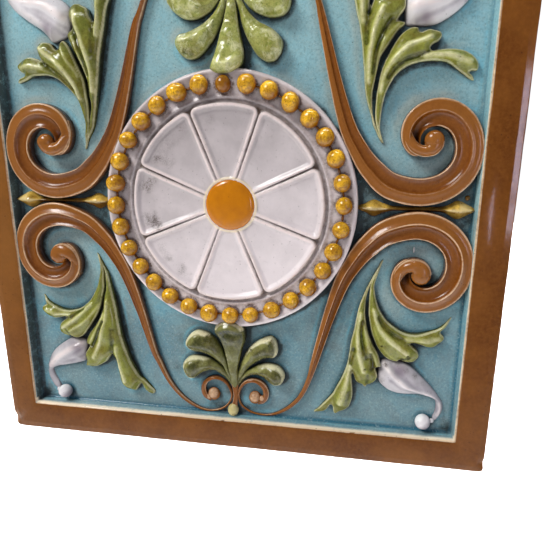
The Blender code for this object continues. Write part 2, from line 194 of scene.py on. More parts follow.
def keep(bm, name, masks=None, closed=False):
    """Makes the mesh a piece of the tile, with its masks as attributes and, if asked, its holes closed."""
    for mask, values in (masks or {}).items():
        layer = bm.verts.layers.float.new(mask)
        for vert, value in zip(bm.verts, values):
            vert[layer] = value
    bmesh.ops.remove_doubles(bm, verts=bm.verts, dist=WELD * MM)
    if closed:
        fill_holes(bm)
    bmesh.ops.recalc_face_normals(bm, faces=bm.faces)
    piece = link(name, turned_to_mesh(bm, name))
    piece.data.shade_smooth()
    PIECES.append(piece)
    return piece


def places(piece):
    """x, z and height of each point of a piece."""
    co = np.zeros(len(piece.data.vertices) * 3)
    piece.data.vertices.foreach_get("co", co)
    co = co.reshape(-1, 3) / MM
    return co[:, 0], co[:, 2], -co[:, 1] - GROUND


def read_slope(piece):
    """How far each point of a piece leans to the upper left."""
    normals = np.zeros(len(piece.data.vertices) * 3)
    piece.data.vertices.foreach_get("normal", normals)
    normals = normals.reshape(-1, 3)
    return (normals[:, 2] - normals[:, 0]) * 0.7


def mask_of(piece, name):
    values = np.zeros(len(piece.data.vertices))
    if name in piece.data.attributes:
        piece.data.attributes[name].data.foreach_get("value", values)
    return values


def give_mask(piece, name, values):
    layer = piece.data.attributes.get(name)
    if layer is None:
        layer = piece.data.attributes.new(name, "FLOAT", "POINT")
    layer.data.foreach_set("value", np.ascontiguousarray(values, dtype=np.float32))


def weaken(piece, name, share):
    give_mask(piece, name, mask_of(piece, name) * share)


def quarter(name):
    """The side and the height of the quarter that a piece's name tells."""
    return -1 if "left" in name else 1, -1 if "upper" in name else 1


# The blank: border, walls, ground and back

HALF = 101.5          # middle of the tile to its outer faces
# Section of the blank from the ground's edge over the border to the back: from the middle, height
BORDER_PROFILE = [
    (88.1, 0.0), (88.5, 0.08), (88.8, 0.26), (89.0, 0.6), (89.12, 1.3), (89.3, 2.3), (89.5, 3.3),
    (89.7, 4.0), (89.95, 4.5), (90.3, 4.83), (90.75, 4.98), (91.3, 5.04), (95.0, 5.07), (98.7, 5.05),
    (98.9, 5.035), (99.05, 5.0135), (101.0, 4.7343), (101.1, 4.72), (101.25, 4.66), (101.4, 4.5),
    (HALF, 4.0), (HALF, 2.6), (HALF, 0.0), (HALF, -4.0), (HALF, -8.0), (101.3, -8.7), (100.9, -GROUND)]
FACE_ROWS = 21        # rows of the section that are seen from the front
GROUND_STEPS = 122
CORNER_PLAN = 1.7     # rounding of the outer corners
# Chips: across, up, reach, depth
CHIPS = [(HALF, -98.8, 1.6, 0.8), (-HALF, -99.6, 2.8, 1.3),
         (HALF, -62.0, 0.9, 0.25), (-101.4, 21.0, 0.9, 0.3)]
KEY_GROOVES = 4
KEY_HALF, KEY_DEPTH, KEY_REACH = 3.0, 1.5, 87.6
# Places on the ground darkened by dirt and painted shade, in corners, narrow gaps and beside lobes: across,
# up, reach, amount
DIRT_AND_SHADE = [(87.0, 87.0, 3.0, 0.9), (87.0, 4.0, 3.0, 0.7), (87.0, 9.0, 3.0, 0.4), (60.0, 4.6, 3.5, 0.8),
        (53.0, 5.0, 3.0, 0.8), (70.0, 4.2, 3.5, 0.6), (49.5, 9.0, 2.5, 0.5), (0.0, 77.0, 5.0, 0.5),
        (9.0, 86.0, 3.5, 0.5), (4.5, 87.0, 2.5, 0.9), (21.5, 57.0, 2.6, 0.5), (24.0, 70.0, 2.6, 0.5)]


def make_blank():
    """One sheet pressed down in the middle, folded over the border and the sides, closed at the back."""
    steps = GROUND_STEPS + len(BORDER_PROFILE) - 1
    bm, u, v = sheet(2 * steps, 2 * steps)
    u, v = 2 * u - 1, 2 * v - 1
    square = np.maximum(np.abs(u), np.abs(v))
    along = np.rint(square * steps)
    section = np.array(BORDER_PROFILE)
    radius = np.concatenate([np.linspace(0, section[0, 0], GROUND_STEPS + 1), section[1:, 0]])
    height = np.concatenate([np.zeros(GROUND_STEPS + 1), section[1:, 1]])
    r = np.interp(along, np.arange(steps + 1), radius)
    h = np.interp(along, np.arange(steps + 1), height)
    safe = np.maximum(square, 1e-9)
    x, z = round_corners(u / safe * r, v / safe * r)
    # the hand-finished unevenness of arris, band and outer edge
    slow, quick = waver(x, z, 22, 1.3), waver(x, z, 6, 5.1)
    edge = step_up(r, 92, 98.7)
    sway = hump(r, 90.0, 1.0) * (0.16 * slow + 0.10 * quick) + edge * (0.16 * slow + 0.06 * quick)
    grow = np.where(r > 85, 1 + sway / np.maximum(r, 20), 1)
    x, z = x * grow, z * grow
    # the clay spread a little under the mould's edge, most of it above and below
    x = x + np.sign(x) * edge * np.where(x > 0, 0.6, 0.4) * np.abs(x) / HALF
    z = z * (1 + edge * 1.2 / HALF)
    band = step_up(r, 90.5, 92) * (1 - step_up(r, 101, HALF))
    h = h + band * (h > 0) * (0.05 * slow + 0.012 * quick) + (1 - step_up(r, 82, 88)) * 0.05 * slow
    for at_x, at_z, reach, depth in CHIPS:
        bite = spot(x, z, at_x, at_z, reach) * (0.8 + 0.4 * quick) * depth * (h > -5)
        x = x - np.sign(x) * bite * 0.6
        z = z - np.sign(z) * bite * 0.6 * (abs(at_z) > 90)
        h = h - bite * 0.8
    settle(bm, x, z, h)
    close_back(bm)
    return keep(bm, "tile_body")


def round_corners(x, z):
    """The outer corners rounded in plan."""
    centre = HALF - CORNER_PLAN
    dx, dz = np.abs(x) - centre, np.abs(z) - centre
    corner = (dx > 0) & (dz > 0)
    pull = np.where(corner, np.maximum(dx, dz) / np.maximum(np.hypot(dx, dz), 1e-9), 1)
    return (np.where(corner, np.sign(x) * (centre + dx * pull), x),
            np.where(corner, np.sign(z) * (centre + dz * pull), z))


def back_faces(bm):
    return [face for face in bm.faces if all(abs(vert.co.y) < 1e-5 for vert in face.verts)]


def close_back(bm):
    """The flat back with its upright key grooves."""
    bmesh.ops.contextual_create(bm, geom=[edge for edge in bm.edges if edge.is_boundary])
    middles = [(index - (KEY_GROOVES - 1) / 2) * SIDE / (KEY_GROOVES + 1) for index in range(KEY_GROOVES)]
    upright, across = Vector((0, 0, 1)), Vector((1, 0, 0))
    cuts = [(upright * side * KEY_REACH, upright) for side in (-1, 1)]
    cuts += [(across * (middle + side * KEY_HALF), across) for middle in middles for side in (-1, 1)]
    for place, normal in cuts:
        back = back_faces(bm)
        geom = back + list({e for f in back for e in f.edges}) + list({v for f in back for v in f.verts})
        bmesh.ops.bisect_plane(bm, geom=geom, dist=1e-6, plane_co=place * MM, plane_no=normal)
    for middle in middles:
        floor = [face for face in back_faces(bm)
                 if abs(face.calc_center_median().x / MM - middle) < KEY_HALF
                 and abs(face.calc_center_median().z / MM) < KEY_REACH]
        moved = verts_of(bmesh.ops.extrude_face_region(bm, geom=floor)["geom"])
        bmesh.ops.delete(bm, geom=floor, context="FACES")
        bmesh.ops.translate(bm, verts=moved, vec=(0, -KEY_DEPTH * MM, 0))


# Scrolls

SCROLL_RISE = 5.6
# Rows of the volute: degrees, radius, half width, share of the rise, depth of the channel
VOLUTE = [(90, 17.4, 5.0, 1.0, 1.0), (45, 15.4, 5.0, 1.0, 1.0), (0, 13.0, 4.9, 1.0, 1.0),
          (-45, 11.4, 4.85, 1.0, 1.0), (-90, 10.0, 4.7, 1.0, 1.15), (-135, 8.6, 4.1, 1.0, 1.6),
          (-180, 6.9, 3.15, 0.97, 2.4), (-205, 6.0, 2.4, 0.88, 1.9), (-222, 5.2, 1.6, 0.75, 1.2)]
STEM = [(34.0, -61.8, 1.5, 0.6), (38.8, -43.4, 2.2, 0.75), (43.4, -28.8, 2.9, 0.9),
        (47.7, -20.6, 3.4, 0.95), (52.6, -14.0, 4.1, 1.0), (60.2, -8.0, 4.7, 1.0)]
RIGHT_CURL = [
    (10.6, -82.3, 1.1, 0.42), (13.2, -80.9, 1.3, 0.45), (14.2, -77.6, 1.35, 0.48), (12.8, -74.3, 1.25, 0.5),
    (9.6, -72.5, 0.95, 0.5), (6.4, -73.0, 0.8, 0.48), (4.0, -75.1, 0.65, 0.42), (2.6, -78.0, 0.5, 0.36),
    (2.4, -81.0, 0.45, 0.3), (3.2, -84.0, 0.42, 0.26), (5.2, -86.2, 0.4, 0.21), (8.0, -87.8, 0.42, 0.16),
    (11.6, -88.5, 0.45, 0.13), (15.4, -88.2, 0.5, 0.15), (18.8, -87.0, 0.62, 0.2),
    (22.2, -84.9, 0.75, 0.27), (25.2, -82.2, 0.86, 0.34), (28.1, -78.6, 0.95, 0.42),
    (30.4, -74.0, 1.08, 0.48), (32.3, -68.5, 1.25, 0.55)]
LEFT_CURL = [
    (9.4, -82.6, 1.0, 0.42), (11.8, -81.2, 1.15, 0.45), (12.8, -78.4, 1.15, 0.46), (12.2, -75.4, 1.0, 0.48),
    (10.2, -73.3, 0.85, 0.5), (7.4, -72.4, 0.75, 0.48), (4.6, -73.3, 0.62, 0.42), (2.4, -75.3, 0.52, 0.36),
    (1.1, -78.0, 0.46, 0.32), (0.7, -80.6, 0.43, 0.28), (1.6, -83.4, 0.42, 0.25), (3.4, -85.8, 0.42, 0.22),
    (6.0, -87.5, 0.42, 0.2), (9.2, -88.4, 0.45, 0.18), (12.6, -88.4, 0.52, 0.2), (16.2, -87.2, 0.6, 0.24),
    (20.2, -84.8, 0.7, 0.3), (23.8, -81.6, 0.8, 0.36), (26.9, -77.6, 0.88, 0.42), (29.6, -72.6, 0.98, 0.48),
    (31.8, -67.2, 1.15, 0.55)]
# Where each kind of curl has its eye, and its hook with the hook's size
RIGHT_CURL_END = ((9.4, -80.2), (12.4, -80.4, 1.35))
LEFT_CURL_END = ((8.3, -80.0), (10.3, -81.6, 1.25))
# Each scroll: side, 1 below or -1 above, eye, size of the volute, its rolled tip, its curl, its stem's girth
SCROLLS = {
    "scroll_lower_right": (1, 1, (72.4, -23.2), 1.0, [
        (63.5, -30.5, 1.5), (63.6, -27.0, 1.65), (64.3, -24.2, 1.9), (66.3, -21.5, 2.2), (69.0, -20.4, 2.6),
        (71.2, -21.2, 3.3), (72.3, -22.6, 3.6), (72.4, -23.9, 3.6)], RIGHT_CURL, 1.0),
    "scroll_lower_left": (-1, 1, (73.3, -22.1), 0.95, [
        (64.9, -30.5, 1.5), (65.0, -27.0, 1.7), (65.3, -24.2, 2.0), (66.7, -21.6, 2.5), (69.2, -20.3, 3.0),
        (71.2, -20.8, 3.4), (72.0, -22.1, 3.6)], LEFT_CURL, 0.78),
    "scroll_upper_right": (1, -1, (72.4, -23.4), 0.97, [
        (63.6, -31.0, 1.4), (63.8, -27.5, 1.55), (64.9, -24.2, 1.75), (67.0, -21.5, 1.9), (70.0, -20.4, 2.0),
        (72.4, -21.1, 2.6), (73.4, -22.6, 3.2), (73.3, -24.0, 3.4)], RIGHT_CURL, 1.0),
    "scroll_upper_left": (-1, -1, (72.3, -22.6), 0.96, [
        (63.6, -30.5, 1.5), (63.3, -27.0, 1.75), (64.6, -23.4, 2.1), (67.0, -20.6, 2.3), (70.0, -19.9, 2.5),
        (71.9, -20.9, 3.0), (72.5, -22.4, 3.3)], LEFT_CURL, 0.95),
}
# The tone column paints shade into the sunk channel, darkest just under the ridge.
SECTION = [  # across from outer edge 1 to inner edge -1: share across, height, worn glaze, tone
    (1.0, 0.60, 0.12, 0.75), (0.975, 0.71, 1.0, 0.8), (0.90, 0.745, 0.55, 0.8), (0.8, 0.74, 0.08, 0.75),
    (0.6, 0.765, 0.0, 0.7), (0.42, 0.83, 0.0, 0.7), (0.28, 0.93, 0.0, 0.7), (0.21, 0.98, 0.25, 0.75),
    (0.16, 1.0, 1.0, 0.8), (0.11, 0.975, 0.6, 0.5), (0.05, 0.85, 0.0, 0.15), (-0.03, 0.73, 0.0, 0.02),
    (-0.18, 0.66, 0.0, 0.2), (-0.4, 0.625, 0.0, 0.38), (-0.6, 0.645, 0.0, 0.3), (-0.78, 0.70, 0.0, 0.15),
    (-0.89, 0.775, 0.1, 0.3), (-0.94, 0.80, 1.0, 0.6), (-0.98, 0.76, 0.8, 0.6), (-1.0, 0.66, 0.1, 0.4)]
# The band's walls, down from the inner edge to the root, then up from it to the outer edge
ROOT = math.nan
WALLS = [(-1.0, 0.3, 0.0, 0.0), (-1.03, 0.05, 0.0, 0.0), (-1.04, ROOT, 0.0, 0.0),
         (1.04, ROOT, 0.0, 0.3), (1.03, 0.05, 0.0, 0.5), (1.0, 0.3, 0.1, 0.6)]
# The rolled tip, across from its root: share across, share of the dome
TIP_TURN = np.linspace(0, math.pi, 15)
TIP_ACROSS = np.concatenate([[-1.0, -1.0], -np.cos(TIP_TURN), [1.0, 1.0, -1.0]])
TIP_DOME = np.concatenate([[ROOT, 0.0], np.sin(TIP_TURN), [0.0, ROOT, ROOT]])


def make_band(name, rows, side, up, ridge=1.0, fade=False):
    """A band with raised ridge and sunk channel, swept along the rows and closed below."""
    profile = np.array(SECTION + WALLS + SECTION[:1])
    rows = even_rows(rows, 0.42)
    bm, column, row, run = lay_along(rows, len(profile) - 1)
    along_x, along_z, half, rise, deep = rows[row].T
    share, lift, worn, tone = profile[column].T
    low, lift = np.isnan(lift), np.nan_to_num(lift)
    ridge = ridge * (step_up(along_x, 47, 62) if fade else 1)
    thin = 1 - step_up(half, 0.8, 2.0)
    flat = 0.62 + 0.38 * np.sqrt(unit(1 - share ** 2 * 0.9))
    inner = (share < 0.12) & (share > -0.97) & ~low
    lift = np.where(inner, 1 - (1 - lift) * deep, lift)
    lift = lift - (1 - ridge) * 0.2 * hump(share, 0.18, 0.12) * ~low
    lift = np.where(low, 0, lift * (1 - thin) + np.where(lift > 0.55, flat, lift) * thin)
    x = side * (along_x - run[:, 1] * share * half)
    z = up * (along_z + run[:, 0] * share * half)
    swell = waver(x, z, 9, 2.2 + side) * 0.10
    height = np.where(low, -SUNK, lift * rise * SCROLL_RISE + swell * (lift > 0.5))
    edge = hump(np.abs(share), 0.92, 0.14) * np.where(share * side < 0, 0.95, 0.3)
    worn = worn * (1 - thin) + thin * edge * (lift > 0.3)
    worn = np.where(np.abs(share) < 0.5, worn * ridge, worn)
    worn = np.where(share < -0.5, worn * (1 - step_up(deep, 1.02, 1.2)), worn)
    # the walls' foot: the ground's glaze run up them, painted dark as shade
    foot = np.where(np.abs(share) > 1.01, 1.0, np.where((np.abs(share) > 0.99) & (lift < 0.5), 0.75, 0.0))
    settle(bm, x, z, height)
    return keep(bm, name, {"worn": worn, "tone": tone, "foot": foot}, closed=True)


def make_ball(name, x, z, radius, middle, flat=0.85, squash=1.0, tone=0.5, worn=0.0, segments=28):
    """A pressed ball; its middle stands that high."""
    bm = bmesh.new()
    bmesh.ops.create_uvsphere(bm, u_segments=segments, v_segments=segments // 2, radius=1.0)
    co = np.array([vert.co[:] for vert in bm.verts])
    height = middle + co[:, 2] * radius * flat
    px, pz = x + co[:, 0] * radius, z + co[:, 1] * radius * squash
    height = height + waver(px, pz, 3.0, x * 0.37) * 0.15 * (co[:, 2] > -0.5)
    settle(bm, px, pz, np.maximum(height, -SUNK))
    # worn cream on the top and upper side of the ball: wear, and a painted highlight where the light falls
    rubbed_and_lit = worn * step_up(co[:, 2] + co[:, 1] * 0.6, 0.3, 1.0)
    return keep(bm, name, {"tone": np.full(len(px), tone), "worn": rubbed_and_lit})


def make_tip(name, rows, side, up):
    """The end of a scroll: its outer part swelling and rolling into a ball."""
    rows = even_rows(smooth_rows(rows, 8), 0.4)
    bm, column, row, run = lay_along(rows, len(TIP_ACROSS) - 1)
    share, dome = TIP_ACROSS[column], TIP_DOME[column]
    low, dome = np.isnan(dome), np.nan_to_num(dome)
    along = row / (len(rows) - 1)
    half = rows[row, 2] * (0.55 + 0.45 * step_up(along, 0.0, 0.3))
    x = rows[row, 0] - run[:, 1] * share * half
    z = rows[row, 1] + run[:, 0] * share * half
    top = 3.2 + 3.1 * step_up(along, 0.0, 0.7)
    foot = np.minimum(3.5, top - 0.3)
    height = np.where(low, -SUNK, foot + (top - foot) * dome)
    height = height + waver(x, z, 3.0, side + 0.5 * up) * 0.12 * (height > 0)
    worn = hump(np.abs(share), 0.93, 0.10) * (np.abs(share) < 0.999) * np.where(share > 0, 1.0, 0.6)
    settle(bm, side * x, up * z, height)
    return keep(bm, name, {"worn": worn, "tone": np.full(len(x), 0.75), "foot": low * 1.0}, closed=True)


def make_scrolls():
    for name, (side, up, (eye_x, eye_z), size, tip, curl, girth) in SCROLLS.items():
        turns = [(eye_x + size * r * math.cos(math.radians(a)), eye_z + size * r * math.sin(math.radians(a)),
                  half * size, share, deep) for a, r, half, share, deep in smooth_rows(VOLUTE, 12)]
        stem = [(x, z, half * 0.86, share, 1) for x, z, half, share in curl]
        stem += [(x, z, half * girth, share, 1) for x, z, half, share in STEM]
        rows = np.vstack([smooth_rows(stem + [turns[0], turns[12]], 12)[:-13], np.array(turns)])
        make_band(name, rows, side, up, 0.9 if up == 1 else 0.4, name != "scroll_lower_right")
        make_tip(name.replace("scroll", "scroll_tip"), tip, side, up)
        x, z, radius = tip[-1]
        make_ball(name.replace("scroll", "scroll_eye"), side * x, up * z, radius, 6.4 - 0.8 * radius,
                  flat=0.8, tone=0.75)
        (x, z), (hook_x, hook_z, hook) = RIGHT_CURL_END if curl is RIGHT_CURL else LEFT_CURL_END
        make_ball(name.replace("scroll", "curl_eye"), side * x, up * z, 2.6, 1.3, flat=0.9, squash=1.08,
                  worn=0.65)
        make_ball(name.replace("scroll", "curl_hook"), side * hook_x, up * hook_z, hook, 1.5, flat=0.9,
                  worn=0.6)


# Pressed forms: leaves, buds, lobes

def clay_slab(name, line):
    """A slab of clay in that outline, open below, with its brink softened."""
    bm = bmesh.new()
    face = bm.faces.new([bm.verts.new((x, 0, z)) for x, z in line])
    body = bmesh.ops.extrude_face_region(bm, geom=[face])["geom"]
    bmesh.ops.translate(bm, vec=(0, -SLAB, 0), verts=verts_of(body))
    bmesh.ops.recalc_face_normals(bm, faces=bm.faces)
    block = link(name + "_rough", turned_to_mesh(bm, name + "_rough"))
    remesh = block.modifiers.new("clay", "REMESH")
    remesh.mode, remesh.voxel_size = "VOXEL", CLAY_CELL
    cast = bpy.data.meshes.new_from_object(block.evaluated_get(bpy.context.evaluated_depsgraph_get()))
    bpy.data.objects.remove(block)
    bm = bmesh.new()
    bm.from_mesh(cast)
    bpy.data.meshes.remove(cast)
    under = [face for face in bm.faces if face.normal.y > 0.8 and face.calc_center_median().y > -0.5]
    bmesh.ops.delete(bm, geom=under, context="FACES")
    fill_holes(bm)
    bmesh.ops.smooth_vert(bm, verts=bm.verts, factor=0.5, use_axis_x=True, use_axis_z=True)
    return bm


def pressed(name, outline, rise, edge, dome, rim, levels, ridges, brow=0.45):
    """A form pressed in clay: its outline cut out, raised, then worked with ridges and troughs.

    levels are places with the share of the rise there; ridges are lines with their height and width.
    """
    line = smooth_rows(outline, 5, closed=True)
    run = np.roll(line, -1, 0) - np.roll(line, 1, 0)
    run /= np.maximum(np.hypot(*run.T), 1e-9)[:, None]
    turn = np.sign((line[:, 0] * np.roll(line[:, 1], -1) - np.roll(line[:, 0], -1) * line[:, 1]).sum())
    line = line + turn * CLAY_CELL / 2 * np.stack([run[:, 1], -run[:, 0]], 1)
    bm = clay_slab(name, line)
    co = np.array([vert.co[:] for vert in bm.verts])
    x, z, t = co[:, 0], co[:, 2], unit(-co[:, 1] / SLAB)
    inside = away_from(x, z, line, closed=True)
    level_x, level_z, level = np.array(levels, float).T
    pull = 1 / (((x[:, None] - level_x) ** 2 + (z[:, None] - level_z) ** 2) ** 1.5 + 2)
    lift = edge + (1 - edge) * np.sin(unit(inside / dome) * math.pi / 2)
    height = lift * (pull * level).sum(1) / pull.sum(1) * rise
    worn = hump(inside, 0.22, 0.30) * rim
    # painted light and shade: the tone raised along the ridges, lowered in the troughs and, below, down the
    # walls
    tone = np.full(len(x), 0.5)
    taper = step_up(inside, 0.0, 0.8)
    for points, amount, width in ridges:
        points = smooth_rows(points, 3) if len(points) > 2 else points
        near = hump(away_from(x, z, points), 0, width)
        height = height + amount * near * (0.35 + 0.65 * taper)
        worn = np.maximum(worn, near * min(amount, 1.0) * 0.9) if amount > 0 else worn * (1 - 0.8 * near)
        tone = tone + 0.5 * np.clip(amount, -1, 1) * near
    height = height - brow * roll_off(unit(1 - inside / brow)) * 0.9
    height = height + 0.10 * waver(x, z, 2.4, 1.7) + 0.05 * waver(x, z, 0.9, 4.4)
    settle(bm, x, z, -SUNK + t * (np.maximum(height, 0.25) + SUNK))
    top = step_up(t, 0.75, 0.98)
    return keep(bm, name, {"worn": worn * top, "tone": unit(tone) * (0.4 + 0.6 * top),
                           "foot": 1 - step_up(t, 0.1, 0.6)})


def flipped(rows, side, up):
    """The same drawing on another quarter."""
    return [(x * side, z * up, *rest) for x, z, *rest in rows]


LEAF_RISE = 6.2
